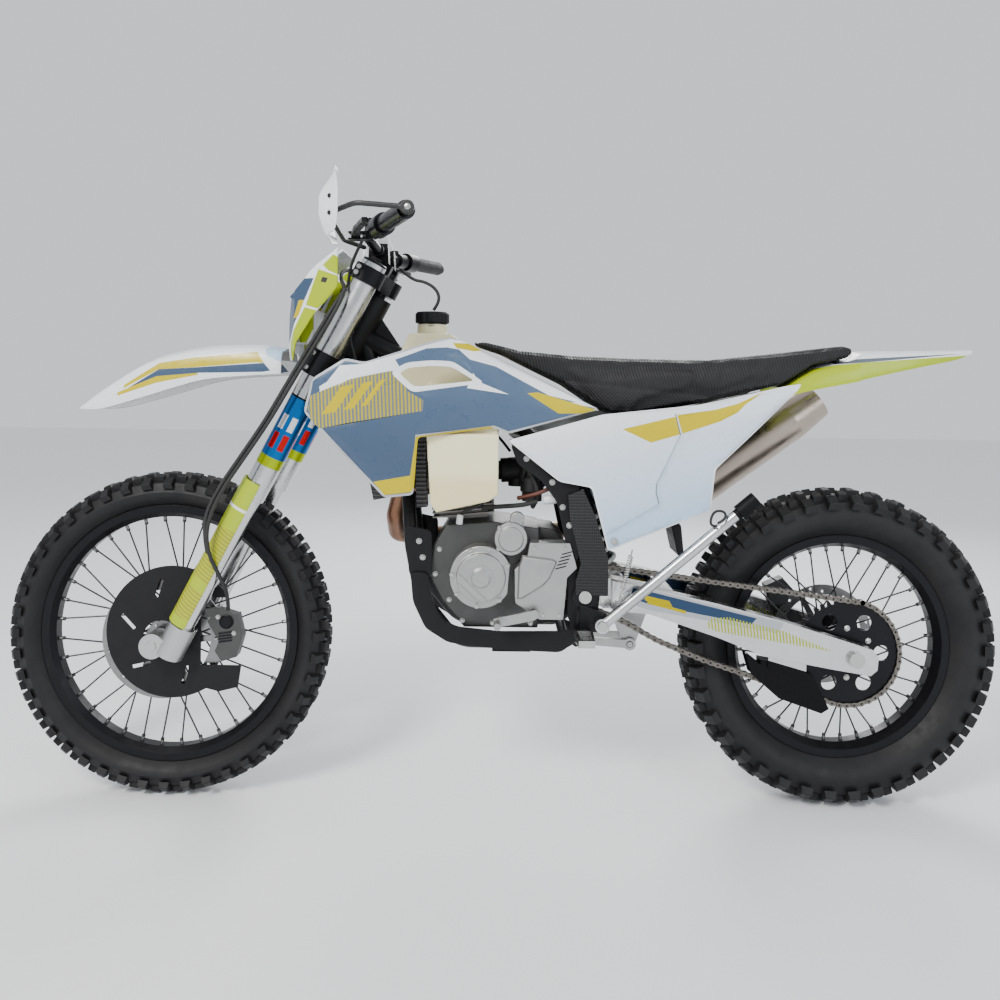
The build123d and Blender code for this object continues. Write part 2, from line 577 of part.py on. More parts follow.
def exhaust():
    header = swept([(-178.6, 0, 683.8), (-222, 0, 677), (-242, 26, 606), (-243, 84, 556), (-196, 142, 540),
                    (-40, 158, 552), (140, 162, 556), (290, 154, 543), (360.5, 150, 594.6)], 19,
                   [24, 40, 36, 46, 300, 300, 70])
    save("exhaust_header", header)
    direction = Vector(0.807, 0, 0.590)
    tip = Vector(742, 150, 873)
    can = rod(tip - direction * 400, tip - direction * 78, 50)
    neck = Solid.make_cone(19, 50, 70, Plane(tip - direction * 470, z_dir=direction))
    cone = Solid.make_cone(50, 42, 78, Plane(tip - direction * 78, z_dir=direction))
    outlet = rod(tip - direction * 60, tip + direction * 2, 28)
    save("silencer", fuse(can, neck, cone) - outlet)


def intake():
    airbox = prism([(232, 800), (420, 838), (430, 730), (374, 660), (300, 650), (240, 690)], -64, 64)
    boot = swept([(238, 42, 740), (170, 64, 738), (104, 34, 722), (60, 8, 716)], 19, [60, 60])
    throttle_body = fuse(rod((66, 8, 716), (-6, 4, 712), 27), rod((30, 6, 740), (30, 6, 678), 20),
                         rod((-6, 4, 712), (-20, 4, 712), 21))
    save("intake", fuse(airbox, boot, throttle_body))


def radiators():
    core = prism([(-312, 858), (-264, 866), (-222, 668), (-270, 658)], -118, -58)
    louver = prism([(-186, 786), (-165, 786), (-158, 646), (-180, 644)], -122, -92)
    bridge = prism([(-262, 760), (-170, 760), (-170, 740), (-258, 740)], -112, -96)
    cap = Solid.make_cylinder(14, 16, Plane((-288, -88, 860)))
    save("radiators", *both(fuse(core, louver, bridge, cap)))


def fuel_tank():
    middle = prism([(-226, 962), (-206, 1008), (-116, 1008), (-92, 988), (8, 946), (30, 910), (16, 856),
                    (-180, 856), (-232, 900)], -72, 72)
    tunnel = prism([(-260, 1004), (-260, 800), (60, 780), (60, 838), (-60, 897)], -29, 29)
    lobe = fuse(prism([(-160, 800), (-12, 800), (-12, 676), (-30, 662), (-138, 638), (-150, 656)], -150, -71),
                prism([(-160, 790), (-160, 900), (-20, 880), (-12, 790)], -130, -71))
    neck = Solid.make_cylinder(33, 26, Plane((-162, 0, 1006)))
    cap = Solid.make_cylinder(38, 24, Plane((-162, 0, 1034)))
    tank = (fuse(middle, neck, *both(lobe)) - tunnel)
    save("fuel_tank", tank, cap)


def seat():
    side = prism([(-85, 992), (-56, 994), (32, 973), (140, 963), (253, 959), (430, 957), (562, 972),
                  (739, 994), (744, 972), (651, 953), (585, 911), (431, 871), (255, 838), (211, 846),
                  (122, 905), (-12, 969)], -112, 112)
    plan = slab([(-90, -46), (0, -62), (110, -82), (250, -100), (480, -108), (680, -100), (748, -84),
                 (748, 84), (680, 100), (480, 108), (250, 100), (110, 82), (0, 62), (-90, 46)], 800, 1010)
    save("seat", side & plan)


def shrouds():
    skin = wall([(-412, -186), (-320, -188), (-160, -172), (0, -140), (210, -116)], SKIN, 640, 1010)
    outline = prism([(-398, 861), (-385, 909), (-321, 950), (-282, 942), (-157, 985), (-112, 996),
                     (-81, 986), (197, 852), (7, 800), (-22, 812), (-175, 793), (-183, 676), (-240, 670),
                     (-402, 841)], -200, -100)
    opening = prism([(-214, 921), (-197, 932), (-110, 936), (-62, 910), (-184, 896)], -200, -100)
    save("radiator_shrouds", *both((skin & outline) - opening))


def side_panels():
    skin = wall([(0, -136), (200, -142), (430, -134), (640, -104)], SKIN, 540, 930)
    outline = prism([(7, 786), (114, 703), (180, 692), (215, 563), (428, 646), (437, 732), (631, 912),
                     (399, 864), (200, 842)], -160, -90)
    left = skin & outline
    silencer_room = prism([(150, 500), (420, 590), (700, 800), (700, 880), (640, 880), (340, 700),
                           (250, 640), (150, 600)], 90, 190)
    save("side_panels", left, mirrored(left) - silencer_room)


def rear_fender():
    stations = [(590, 92, 905, 884), (651, 94, 948, 900), (744, 92, 967, 918), (752, 90, 982, 922),
                (871, 70, 985, 948), (980, 34, 989, 968), (1026, 10, 991, 984)]
    flap = prism([(362, 604), (384, 604), (391, 540), (378, 536)], -46, 46)
    hanger = prism([(362, 604), (384, 604), (392, 648), (372, 656)], -30, 30)
    save("rear_fender", arch(stations, SKIN), fuse(flap, hanger))


def frame_guards():
    outline = [(132, 676), (163, 688), (187, 637), (216, 548), (217, 458), (183, 406), (150, 436),
               (150, 500), (160, 535), (150, 574), (136, 629)]
    plate = prism(outline, -134.5, -127.5)
    head_room = disc(PIVOT.X, PIVOT.Z, -150, -120, 15)
    corner = prism([(145, 470), (225, 470), (225, 380), (145, 380)], -140, -120)
    guard = plate - head_room - corner
    save("frame_guards", *both(guard))


# ------------------------------------------------------------------ rear suspension and drive
def swingarm():
    pivot_tube = disc(PIVOT.X, PIVOT.Z, -60, 60, 22)
    root = prism([(163, 486), (225, 498), (330, 478), (330, 424), (225, 434), (166, 451)], -94, -56)
    leg = prism([(228, 498), (304, 484), (444, 454), (585, 418), (726, 375), (768, 362), (780, 346),
                 (778, 320), (764, 308), (682, 321), (541, 347), (445, 384), (305, 430), (228, 436)],
                -120, -92)
    brace = prism([(328, 480), (358, 474), (360, 436), (330, 442)], -94, 94)
    lug = prism([(330, 470), (350, 440), (324, 420), (300, 424), (302, 444)], -38, -30)
    guide = fuse(prism([(512, 345), (545, 319), (654, 301), (690, 228), (674, 218), (584, 249),
                        (526, 299)], -90, -86),
                 prism([(512, 345), (545, 319), (600, 310), (606, 262), (584, 252), (526, 299)], -62, -58),
                 prism([(545, 330), (600, 320), (600, 308), (545, 318)], -90, -58))
    hanger = prism([(560, 345), (640, 330), (640, 296), (560, 312)], -94, -90)
    arm = fuse(pivot_tube, *both(root), *both(leg), brace, *both(lug), guide, hanger)
    arm = arm.cut(disc(PIVOT.X, PIVOT.Z, -100, 100, 9 + RUN_FIT), disc(REAR_AXLE.X, REAR_AXLE.Z, -130, 130, AXLE_R),
                  disc(ROCKER_ARM.X, ROCKER_ARM.Z, -50, 50, 6))
    save("swingarm", arm, disc(ROCKER_ARM.X, ROCKER_ARM.Z, -44, 44, 6))
    axle = fuse(disc(REAR_AXLE.X, REAR_AXLE.Z, -120, 120, AXLE_R),
                disc(REAR_AXLE.X, REAR_AXLE.Z, -131, -120, 16), disc(REAR_AXLE.X, REAR_AXLE.Z, 120, 131, 16))
    save("rear_axle", axle)
    caliper = fuse(prism([(600, 452), (640, 470), (668, 440), (650, 402), (612, 404)], 71, 91),
                   prism([(606, 448), (640, 464), (660, 438), (646, 410), (614, 408)], 60, 65),
                   prism([(600, 452), (640, 470), (636, 462), (608, 444)], 60, 91))
    carrier = prism([(612, 404), (650, 402), (720, 360), (720, 330), (660, 340)], 86.3, 91.8)
    save("rear_caliper", fuse(caliper, carrier) - disc(REAR_AXLE.X, REAR_AXLE.Z, 60, 100, 16))


def linkage():
    """Rising-rate rocker and pull rods; the two joints left open carry 1.4 mm of clearance."""
    open_hole = 6 + 1.4
    plate = [(ROCKER_ARM.X + 12, ROCKER_ARM.Z + 4), (ROCKER_ARM.X - 2, ROCKER_ARM.Z + 13),
             (SHOCK_FOOT.X - 14, SHOCK_FOOT.Z + 6), (SHOCK_FOOT.X - 12, SHOCK_FOOT.Z - 12),
             (ROCKER_ROD.X - 12, ROCKER_ROD.Z - 6), (ROCKER_ROD.X + 4, ROCKER_ROD.Z - 13),
             (ROCKER_ROD.X + 14, ROCKER_ROD.Z + 4)]
    rocker = prism(plate, -27, 27)
    slot = prism([(SHOCK_FOOT.X - 30, SHOCK_FOOT.Z - 26), (SHOCK_FOOT.X + 24, SHOCK_FOOT.Z - 26),
                  (SHOCK_FOOT.X + 22, SHOCK_FOOT.Z + 60), (SHOCK_FOOT.X - 40, SHOCK_FOOT.Z + 60)], -14, 14)
    rocker = rocker.cut(slot, disc(ROCKER_ARM.X, ROCKER_ARM.Z, -40, 40, 6 + RUN_FIT))
    rocker = rocker.cut(disc(ROCKER_ROD.X, ROCKER_ROD.Z, -40, 40, 6), disc(SHOCK_FOOT.X, SHOCK_FOOT.Z, -40, 40, 6))
    save("rocker", rocker, disc(ROCKER_ROD.X, ROCKER_ROD.Z, -38, 38, 6),
         disc(SHOCK_FOOT.X, SHOCK_FOOT.Z, -27, 27, 6))
    rods = []
    for side in (-1, 1):
        y0, y1 = side * 29, side * 36
        bar = fuse(disc(ROCKER_ROD.X, ROCKER_ROD.Z, y0, y1, 13), disc(ROD_FRAME.X, ROD_FRAME.Z, y0, y1, 12),
                   prism([(ROD_FRAME.X, ROD_FRAME.Z + 8), (ROCKER_ROD.X, ROCKER_ROD.Z + 9),
                          (ROCKER_ROD.X, ROCKER_ROD.Z - 9), (ROD_FRAME.X, ROD_FRAME.Z - 8)],
                         min(y0, y1), max(y0, y1)))
        rods.append(bar.cut(disc(ROCKER_ROD.X, ROCKER_ROD.Z, -50, 50, open_hole),
                            disc(ROD_FRAME.X, ROD_FRAME.Z, -50, 50, 6 + RUN_FIT)))
    save("pull_rods", *rods)


def shock():
    line = SHOCK_FOOT - SHOCK_TOP
    length = line.length
    axis = line.normalized()
    open_hole = 6 + 1.4

    def along(distance):
        return SHOCK_TOP + axis * distance

    eye = fuse(disc(SHOCK_TOP.X, SHOCK_TOP.Z, -13, 13, 14), rod(along(8), along(190), 24),
               rod(along(48), along(58), 34))
    bore = rod(along(44), along(192), 8 + RUN_FIT)
    save("shock_body", eye.cut(bore, disc(SHOCK_TOP.X, SHOCK_TOP.Z, -20, 20, 6 + RUN_FIT),
                               prism([(90, 640), (230, 640), (230, 780), (90, 780)], -40, -13.5),
                               prism([(90, 640), (230, 640), (230, 780), (90, 780)], 13.5, 40)))
    foot = fuse(disc(SHOCK_FOOT.X, SHOCK_FOOT.Z, -12.5, 12.5, 14), rod(along(length - 34), along(length - 8), 11),
                rod(along(length - 44), along(length - 34), 34), rod(along(120), along(length - 40), 8))
    save("shock_shaft", foot - disc(SHOCK_FOOT.X, SHOCK_FOOT.Z, -20, 20, open_hole))
    sleeve = pipe(along(58.5), along(length - 44.5), 33, 25)
    save("shock_spring", sleeve)


CHAIN_LOW_RUN = [(261, 400), (330, 362), (430, 322), (528, 290), (612, 258)]


def drive():
    front_r = CHAIN_PITCH / (2 * math.sin(math.pi / FRONT_TEETH))
    rear_r = CHAIN_PITCH / (2 * math.sin(math.pi / REAR_TEETH))
    fs = make_sprocket(FRONT_SPROCKET, FRONT_TEETH, 6, 11.05)
    save("front_sprocket", fs)
    a, b = FRONT_SPROCKET, REAR_AXLE
    span = math.dist((a.X, a.Z), (b.X, b.Z))
    slope = math.atan2(b.Z - a.Z, b.X - a.X)
    lift = slope + math.acos((front_r - rear_r) / span)

    def at(centre, radius, angle):
        return (centre.X + radius * math.cos(angle), centre.Z + radius * math.sin(angle))

    def band(offset):
        """Closed loop a little inside or outside the pitch line."""
        fr, rr = front_r + offset, rear_r + offset
        low_end = math.radians(-118)
        low_start = math.radians(-108)
        points = [Line(at(a, fr, lift), at(b, rr, lift)),
                  ThreePointArc(at(b, rr, lift), at(b, rr, 0.0), at(b, rr, low_end))]
        sag = [(x, z - offset) for x, z in reversed(CHAIN_LOW_RUN)]
        run = [at(b, rr, low_end)] + sag + [at(a, fr, low_start)]
        points.append(Polyline(*run))
        points.append(ThreePointArc(at(a, fr, low_start), at(a, fr, math.pi), at(a, fr, lift)))
        return make_face(points)
    loop = band(6.5) - band(-6.5)
    side_plane = Plane((0, 0, 0), x_dir=(1, 0, 0), z_dir=(0, -1, 0))
    plates = []
    for y0 in (CHAIN_Y + 4.6, CHAIN_Y - 7.2):
        plates.append(extrude((side_plane.offset(-y0) * loop).face(), -2.6).solid())
    save("drive_chain", *plates)


# ------------------------------------------------------------------ controls at the feet
def foot_controls():
    shaft = disc(64, 433, -152, -62, 6)
    arm = prism([(56, 440), (70, 443), (76, 430), (64, 422), (-6, 408), (-18, 412), (-18, 424),
                 (-4, 428)], -152, -143)
    pad = disc(-10, 417, -186, -143, 7)
    save("shift_lever", fuse(shaft, arm, pad))
    pedal = prism([(104, 372), (112, 382), (126, 380), (130, 362), (118, 354), (20, 360), (-60, 378),
                   (-66, 392), (-52, 398), (20, 374)], 124, 136)
    tread = prism([(-74, 388), (-40, 394), (-40, 404), (-74, 400)], 124, 170)
    save("rear_brake_pedal", fuse(pedal, tread) - disc(118, 368, 110, 150, 5 + RUN_FIT))
    peg = fuse(slab([(146, -152), (184, -152), (181, -226), (149, -226)], 390, 404),
               slab([(157.5, -139), (172.5, -139), (172.5, -156), (157.5, -156)], 388, 402))
    peg = peg.cut(slab([(152, -158), (178, -158), (176, -220), (154, -220)], 380, 410))
    cross = [slab([(151, y), (179, y), (179, y - 3), (151, y - 3)], 391, 403) for y in (-174, -190, -206)]
    peg = peg.fuse(*cross) - rod((140, -145, 395), (190, -145, 395), 3 + RUN_FIT)
    save("left_footpeg", peg)
    save("right_footpeg", mirrored(peg))


def kickstand():
    hinge = disc(204, 412, -152, -134, 15)
    tube = rod((204, -145.5, 412), (484, -152, 652), 11)
    foot = rod((478, -152, 647), (512, -153, 676), 16)
    stand = fuse(hinge, tube, foot)
    stand = stand - disc(204, 412, -170, -120, 6 + RUN_FIT)
    save("kickstand", stand - disc(204, 412, -170, -152.2, 11))
    save("kickstand_spring", rod((262, -156, 570), (236, -161, 466), 6))


# ------------------------------------------------------------------ build everything
front_wheel()
rear_wheel()
fork()
triple_clamps()
handlebar()
perches()
levers()
hand_guards()
headlight_mask()
front_fender()
front_brake()
cables()
main_frame()
frame_bolts()
subframe()
engine()
cylinder()
exhaust()
intake()
radiators()
fuel_tank()
seat()
shrouds()
side_panels()
rear_fender()
frame_guards()
swingarm()
linkage()
shock()
drive()
foot_controls()
kickstand()
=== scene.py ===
"""Looks of an off-road motorcycle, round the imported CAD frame.

Front towards -X, left side towards -Y. Places are in millimetres and become metres through MM;
materials work in metres.
"""
import json
import math

import bmesh
import bpy
from mathutils import Matrix, Vector
from mathutils.geometry import delaunay_2d_cdt

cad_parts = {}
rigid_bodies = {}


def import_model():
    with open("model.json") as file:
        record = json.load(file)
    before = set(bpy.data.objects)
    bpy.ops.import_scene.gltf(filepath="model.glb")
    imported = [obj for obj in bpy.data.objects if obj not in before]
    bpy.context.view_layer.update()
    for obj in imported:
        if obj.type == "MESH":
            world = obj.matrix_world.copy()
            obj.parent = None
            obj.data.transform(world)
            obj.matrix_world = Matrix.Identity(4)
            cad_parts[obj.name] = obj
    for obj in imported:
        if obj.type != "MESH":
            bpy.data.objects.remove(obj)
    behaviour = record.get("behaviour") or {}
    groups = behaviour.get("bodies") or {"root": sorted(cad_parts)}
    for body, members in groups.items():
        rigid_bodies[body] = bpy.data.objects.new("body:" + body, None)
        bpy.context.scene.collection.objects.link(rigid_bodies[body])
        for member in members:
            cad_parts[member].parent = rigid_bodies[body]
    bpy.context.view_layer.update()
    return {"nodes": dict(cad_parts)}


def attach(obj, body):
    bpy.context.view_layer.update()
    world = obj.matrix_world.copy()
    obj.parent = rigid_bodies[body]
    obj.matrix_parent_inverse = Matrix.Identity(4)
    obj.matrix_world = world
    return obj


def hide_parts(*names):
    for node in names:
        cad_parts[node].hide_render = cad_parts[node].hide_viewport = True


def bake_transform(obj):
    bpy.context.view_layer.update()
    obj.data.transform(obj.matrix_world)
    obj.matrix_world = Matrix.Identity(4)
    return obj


for leftover in list(bpy.data.objects):
    bpy.data.objects.remove(leftover)
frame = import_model()
NODES = frame["nodes"]
MM = 0.001

FRONT_AXLE = Vector((-724, 0, 350)) * MM
REAR_AXLE = Vector((732, 0, 342.2)) * MM
RAKE = math.radians(27.1)
UP = Vector((math.sin(RAKE), 0, math.cos(RAKE)))
TUBE_BASE = Vector((-693.6, 0, 334.4)) * MM
RELIEF_DEPTH = 0.0006
SMUDGE_SCALE = 38


# ------------------------------------------------------------------ camera and light
def set_camera():
    data = bpy.data.cameras.new("camera")
    data.lens, data.sensor_width = 30.98, 36
    data.shift_x, data.shift_y = 0.0014, -0.115
    camera = bpy.data.objects.new("camera", data)
    bpy.context.scene.collection.objects.link(camera)
    turn = Matrix.Rotation(math.radians(90), 4, "X") @ Matrix.Rotation(math.radians(0.78), 4, "Z")
    camera.matrix_world = Matrix.Translation((-0.0139, -1.900, 0.900)) @ turn
    bpy.context.scene.camera = camera


def area_light(name, place, target, size, power, colour=(1, 1, 1)):
    data = bpy.data.lights.new(name, "AREA")
    data.shape, data.size, data.energy, data.color = "DISK", size, power, colour
    lamp = bpy.data.objects.new(name, data)
    bpy.context.scene.collection.objects.link(lamp)
    lamp.location = place
    lamp.rotation_mode = "QUATERNION"
    lamp.rotation_quaternion = (Vector(target) - Vector(place)).to_track_quat("-Z", "Y")


def set_light():
    world = bpy.data.worlds.new("studio")
    bpy.context.scene.world = world
    world.use_nodes = True
    world.node_tree.nodes["Background"].inputs[0].default_value = (0.93, 0.96, 1.0, 1)
    world.node_tree.nodes["Background"].inputs[1].default_value = 0.92
    area_light("key", (-1.8, -3.0, 3.4), (0, 0, 0.6), 1.3, 175, (1, 0.98, 0.95))
    area_light("fill", (2.6, -2.6, 1.8), (0.2, 0, 0.5), 2.2, 38, (0.9, 0.95, 1))
    area_light("back", (0.8, 3.2, 2.6), (0, 0, 0.7), 2.0, 90)


# ------------------------------------------------------------------ materials
class Finish:
    """Procedural finish: mottled colour, uneven roughness and fine relief, with painted areas on top."""

    def __init__(self, name, colour, rough=0.5, metal=0.0, mottle=0.08, patch=14, grain=700, relief=0.15,
                 uneven=0.08, round_edge=0.0, stretch=(1, 1, 1), **sockets):
        self.material = bpy.data.materials.new(name)
        self.material.use_nodes = True
        self.tree = self.material.node_tree
        self.shader = self.tree.nodes["Principled BSDF"]
        self.shader.inputs["Metallic"].default_value = metal
        for socket, value in sockets.items():
            self.shader.inputs[socket.replace("_", " ")].default_value = value
        self.place = self.node("ShaderNodeTexCoord").outputs["Object"]
        stretched = self.node("ShaderNodeMapping")
        self.link(self.place, stretched.inputs["Vector"])
        stretched.inputs["Scale"].default_value = stretch
        self.grain_place = stretched.outputs[0]
        cloud = self.noise(patch, 3)
        self.colour = self.mix(cloud, [c * (1 - mottle) for c in colour],
                               [min(1, c * (1 + mottle)) for c in colour])
        self.rough = self.ramp(self.noise(SMUDGE_SCALE, 4), rough - uneven, rough + uneven)
        self.height = self.noise(grain, 2, self.grain_place)
        self.relief, self.round_edge = relief, round_edge

    def node(self, kind, **settings):
        made = self.tree.nodes.new(kind)
        for key, value in settings.items():
            setattr(made, key, value)
        return made

    def link(self, a, b):
        self.tree.links.new(a, b)

    def noise(self, scale, detail, place=None):
        made = self.node("ShaderNodeTexNoise")
        made.inputs["Scale"].default_value = scale
        made.inputs["Detail"].default_value = detail
        self.link(place or self.place, made.inputs["Vector"])
        return made.outputs["Fac"]

    def put(self, value, socket):
        """A number, a colour or another node's output into a socket."""
        if isinstance(value, (int, float)):
            socket.default_value = value
        elif isinstance(value, (tuple, list)):
            socket.default_value = (*value[:3], 1)
        else:
            self.link(value, socket)

    def mix(self, factor, a, b):
        made = self.node("ShaderNodeMix", data_type="RGBA")
        self.put(factor, made.inputs[0])
        self.put(a, made.inputs[6])
        self.put(b, made.inputs[7])
        return made.outputs[2]

    def ramp(self, value, low, high, start=0.3, end=0.7):
        made = self.node("ShaderNodeMapRange")
        self.link(value, made.inputs[0])
        for k, v in enumerate((start, end, low, high), 1):
            made.inputs[k].default_value = v
        return made.outputs[0]

    def math(self, operation, a, b=0.0):
        made = self.node("ShaderNodeMath", operation=operation)
        for k, v in enumerate((a, b)):
            self.put(v, made.inputs[k])
        return made.outputs[0]

    def along(self, direction, origin=(0, 0, 0)):
        """Distance of the shaded point along a direction, in metres."""
        shifted = self.node("ShaderNodeVectorMath", operation="SUBTRACT")
        self.link(self.place, shifted.inputs[0])
        shifted.inputs[1].default_value = origin
        made = self.node("ShaderNodeVectorMath", operation="DOT_PRODUCT")
        self.link(shifted.outputs[0], made.inputs[0])
        made.inputs[1].default_value = direction
        return made.outputs["Value"]

    def polygon(self, corners):
        """1 inside a convex outline (x, z) in millimetres, carried along Y."""
        centre = Vector((sum(x for x, z in corners), sum(z for x, z in corners))) / len(corners)
        inside = None
        for (x0, z0), (x1, z1) in zip(corners, corners[1:] + corners[:1]):
            side = Vector((z0 - z1, x1 - x0)).normalized()
            if side.dot(centre - Vector((x0, z0))) < 0:
                side = -side
            distance = self.along((side.x, 0, side.y), (x0 * MM, 0, z0 * MM))
            step = self.math("GREATER_THAN", distance, 0.0)
            inside = step if inside is None else self.math("MULTIPLY", inside, step)
        return inside

    def ribbon(self, stations):
        """1 inside a band given by (x, lower z, upper z) stations in millimetres."""
        covered = None
        for (x0, low0, high0), (x1, low1, high1) in zip(stations, stations[1:]):
            part = self.polygon([(x0, low0), (x1, low1), (x1, high1), (x0, high0)])
            covered = part if covered is None else self.math("MAXIMUM", covered, part)
        return covered

    def facing(self, direction, least):
        """1 where the surface faces a direction."""
        made = self.node("ShaderNodeVectorMath", operation="DOT_PRODUCT")
        self.link(self.node("ShaderNodeNewGeometry").outputs["Normal"], made.inputs[0])
        made.inputs[1].default_value = direction
        return self.math("GREATER_THAN", made.outputs["Value"], least)

    def band(self, distance, low, high):
        above = self.math("GREATER_THAN", distance, low)
        return self.math("MULTIPLY", above, self.math("LESS_THAN", distance, high))

    def stripes(self, distance, pitch, share=0.5):
        return self.math("LESS_THAN", self.math("FRACT", self.math("DIVIDE", distance, pitch)), share)

    def radius(self, centre):
        """Distance from an axis along Y."""
        x = self.along((1, 0, 0), centre)
        z = self.along((0, 0, 1), centre)
        return self.math("SQRT", self.math("ADD", self.math("MULTIPLY", x, x), self.math("MULTIPLY", z, z)))

    def paint(self, mask, colour, rough=None):
        self.colour = self.mix(mask, self.colour, colour)
        if rough is not None:
            self.rough = self.math("ADD", self.math("MULTIPLY", self.rough, self.math("SUBTRACT", 1, mask)),
                                   self.math("MULTIPLY", mask, rough))
        return self

    def emboss(self, height, share):
        """Adds a second pattern to the fine relief."""
        self.height = self.math("ADD", self.height, self.math("MULTIPLY", height, share))
        return self

    def done(self):
        self.put(self.colour, self.shader.inputs["Base Color"])
        self.put(self.rough, self.shader.inputs["Roughness"])
        bump = self.node("ShaderNodeBump")
        bump.inputs["Strength"].default_value = self.relief
        bump.inputs["Distance"].default_value = RELIEF_DEPTH
        self.link(self.height, bump.inputs["Height"])
        if self.round_edge:
            edge = self.node("ShaderNodeBevel", samples=3)
            edge.inputs["Radius"].default_value = self.round_edge
            self.link(edge.outputs[0], bump.inputs["Normal"])
        self.link(bump.outputs[0], self.shader.inputs["Normal"])
        return self.material


YELLOW = (0.52, 0.41, 0.0)
BLUE_GREY = (0.040, 0.072, 0.130)
PALE_BLUE = (0.42, 0.58, 0.76)
WHITE = (0.80, 0.82, 0.84)
LIME = (0.36, 0.46, 0.0)
MATT_BLACK = (0.014, 0.014, 0.015)
FORK_BLUE = (0.01, 0.12, 0.36)
FORK_RED = (0.45, 0.01, 0.01)
FORK_WHITE = (0.70, 0.72, 0.75)
STRIPE_GOLD = (0.44, 0.36, 0.0)
EDGE = 0.0012

paint_black = Finish("frame_paint", (0.006, 0.006, 0.007), 0.40, round_edge=EDGE, relief=0.08,
                     Specular_IOR_Level=0.22).done()
cast = Finish("cast_alloy", (0.40, 0.40, 0.395), 0.40, 0.95, mottle=0.10, patch=30, grain=900, relief=0.35,
              round_edge=EDGE).done()
dark_cast = Finish("dark_cast", (0.045, 0.045, 0.047), 0.5, 0.5, patch=30, grain=800, relief=0.4,
                   round_edge=EDGE).done()
anodised = Finish("black_anodised", (0.010, 0.010, 0.012), 0.34, 0.6, round_edge=EDGE, relief=0.06,
                  Specular_IOR_Level=0.3).done()
steel = Finish("bright_steel", (0.48, 0.48, 0.47), 0.28, 1.0, mottle=0.12, round_edge=0.0006,
               relief=0.06).done()
chain_metal = Finish("chain_steel", (0.17, 0.155, 0.14), 0.42, 0.9, mottle=0.35, patch=60).done()
black_plastic = Finish("black_moulding", (0.007, 0.007, 0.008), 0.55, grain=1300, relief=0.25,
                       round_edge=EDGE, Specular_IOR_Level=0.25).done()
matt_rubber = Finish("rubber", (0.016, 0.016, 0.016), 0.7, grain=500, relief=0.2).done()
white_moulding = Finish("white_moulding", WHITE, 0.3, mottle=0.02, relief=0.03).done()
grey_edge = Finish("silver_moulding", (0.42, 0.44, 0.47), 0.34, mottle=0.04, relief=0.05).done()
yellow_ink = Finish("yellow_film", YELLOW, 0.38, mottle=0.03, relief=0.03, Specular_IOR_Level=0.25).done()
# Painted shade: a much darker copy of cast_alloy, used on the crankcase and the front caliper, which are
# silver castings.
shaded_cast = Finish("shaded_grey_cast", (0.085, 0.085, 0.084), 0.45, 0.9, mottle=0.12, patch=30, grain=900,
                  relief=0.35, round_edge=EDGE).done()
# Painted shade: a dark blue-grey line laid along the raised step of the side panels.
step_shade = Finish("painted_step_shade", (0.10, 0.12, 0.14), 0.6).done()
red = Finish("red_button", (0.50, 0.012, 0.010), 0.38, round_edge=0.0004).done()
titanium = Finish("titanium_shell", (0.40, 0.335, 0.285), 0.33, 1.0, mottle=0.12, patch=8, relief=0.05,
                  stretch=(1, 1, 8)).done()


def brushed(name, colour, rough, stretch):
    return Finish(name, colour, rough, 1.0, mottle=0.05, grain=420, relief=0.22, stretch=stretch,
                  round_edge=EDGE)


def blue_film():
    f = Finish("blue_grey_film", BLUE_GREY, 0.32, mottle=0.05, patch=5, relief=0.03)
    fade = f.ramp(f.along((0.25, 0, 1)), 0.0, 1.0, 0.70, 0.98)
    f.colour = f.mix(fade, f.colour, (0.070, 0.120, 0.200))
    return f.done()


def stripe_film():
    f = Finish("striped_film", (0.13, 0.15, 0.17), 0.34, mottle=0.04, relief=0.03)
    f.paint(f.stripes(f.along((1, 0, 0.05)), 0.0072, 0.45), STRIPE_GOLD)
    return f.done()


def side_white():
    """White moulding that cools to pale blue towards the bottom."""
    f = Finish("side_panel_white", WHITE, 0.27, mottle=0.015, patch=4, relief=0.03)
    low = f.ramp(f.along((0.30, 0, -1)), 0.0, 1.0, -0.80, -0.52)
    f.colour = f.mix(low, f.colour, PALE_BLUE)
    return f.done()


def tank_material():
    f = Finish("translucent_tank", (0.84, 0.77, 0.50), 0.38, mottle=0.03, patch=9, grain=260, relief=0.1,
               Subsurface_Weight=0.25, Subsurface_Scale=0.02)
    f.shader.inputs["Subsurface Radius"].default_value = (1.0, 0.85, 0.5)
    fuel = f.ramp(f.along((0, 0, 1)), 1.0, 0.0, 0.70, 0.72)
    f.colour = f.mix(fuel, f.colour, (0.76, 0.68, 0.38))
    return f.done()


def tyre_material(name, centre, bead):
    """Dusty rubber with moulded rings on the side wall."""
    f = Finish(name, (0.008, 0.008, 0.009), 0.55, mottle=0.3, patch=24, grain=420, relief=0.3,
               Specular_IOR_Level=0.3)
    r = f.radius(centre)
    ring = f.band(r, bead + 0.018, bead + 0.0195)
    second = f.band(r, bead + 0.033, bead + 0.034)
    f.emboss(f.math("ADD", ring, second), 6.0)
    dust = f.math("MULTIPLY", f.ramp(f.noise(9, 6), 0.0, 1.0, 0.45, 0.75), 0.3)
    f.colour = f.mix(dust, f.colour, (0.022, 0.021, 0.019))
    return f.done()


def wheel_metal(name, centre, hub_r, nipple_r):
    """Black hub, dark steel spokes, bright nipples."""
    f = Finish(name, (0.05, 0.05, 0.052), 0.33, 0.8, mottle=0.15, patch=60, relief=0.08, round_edge=0.0006)
    r = f.radius(centre)
    f.paint(f.math("LESS_THAN", r, hub_r), (0.02, 0.02, 0.022))
    f.paint(f.math("GREATER_THAN", r, nipple_r), (0.20, 0.20, 0.20))
    return f.done()


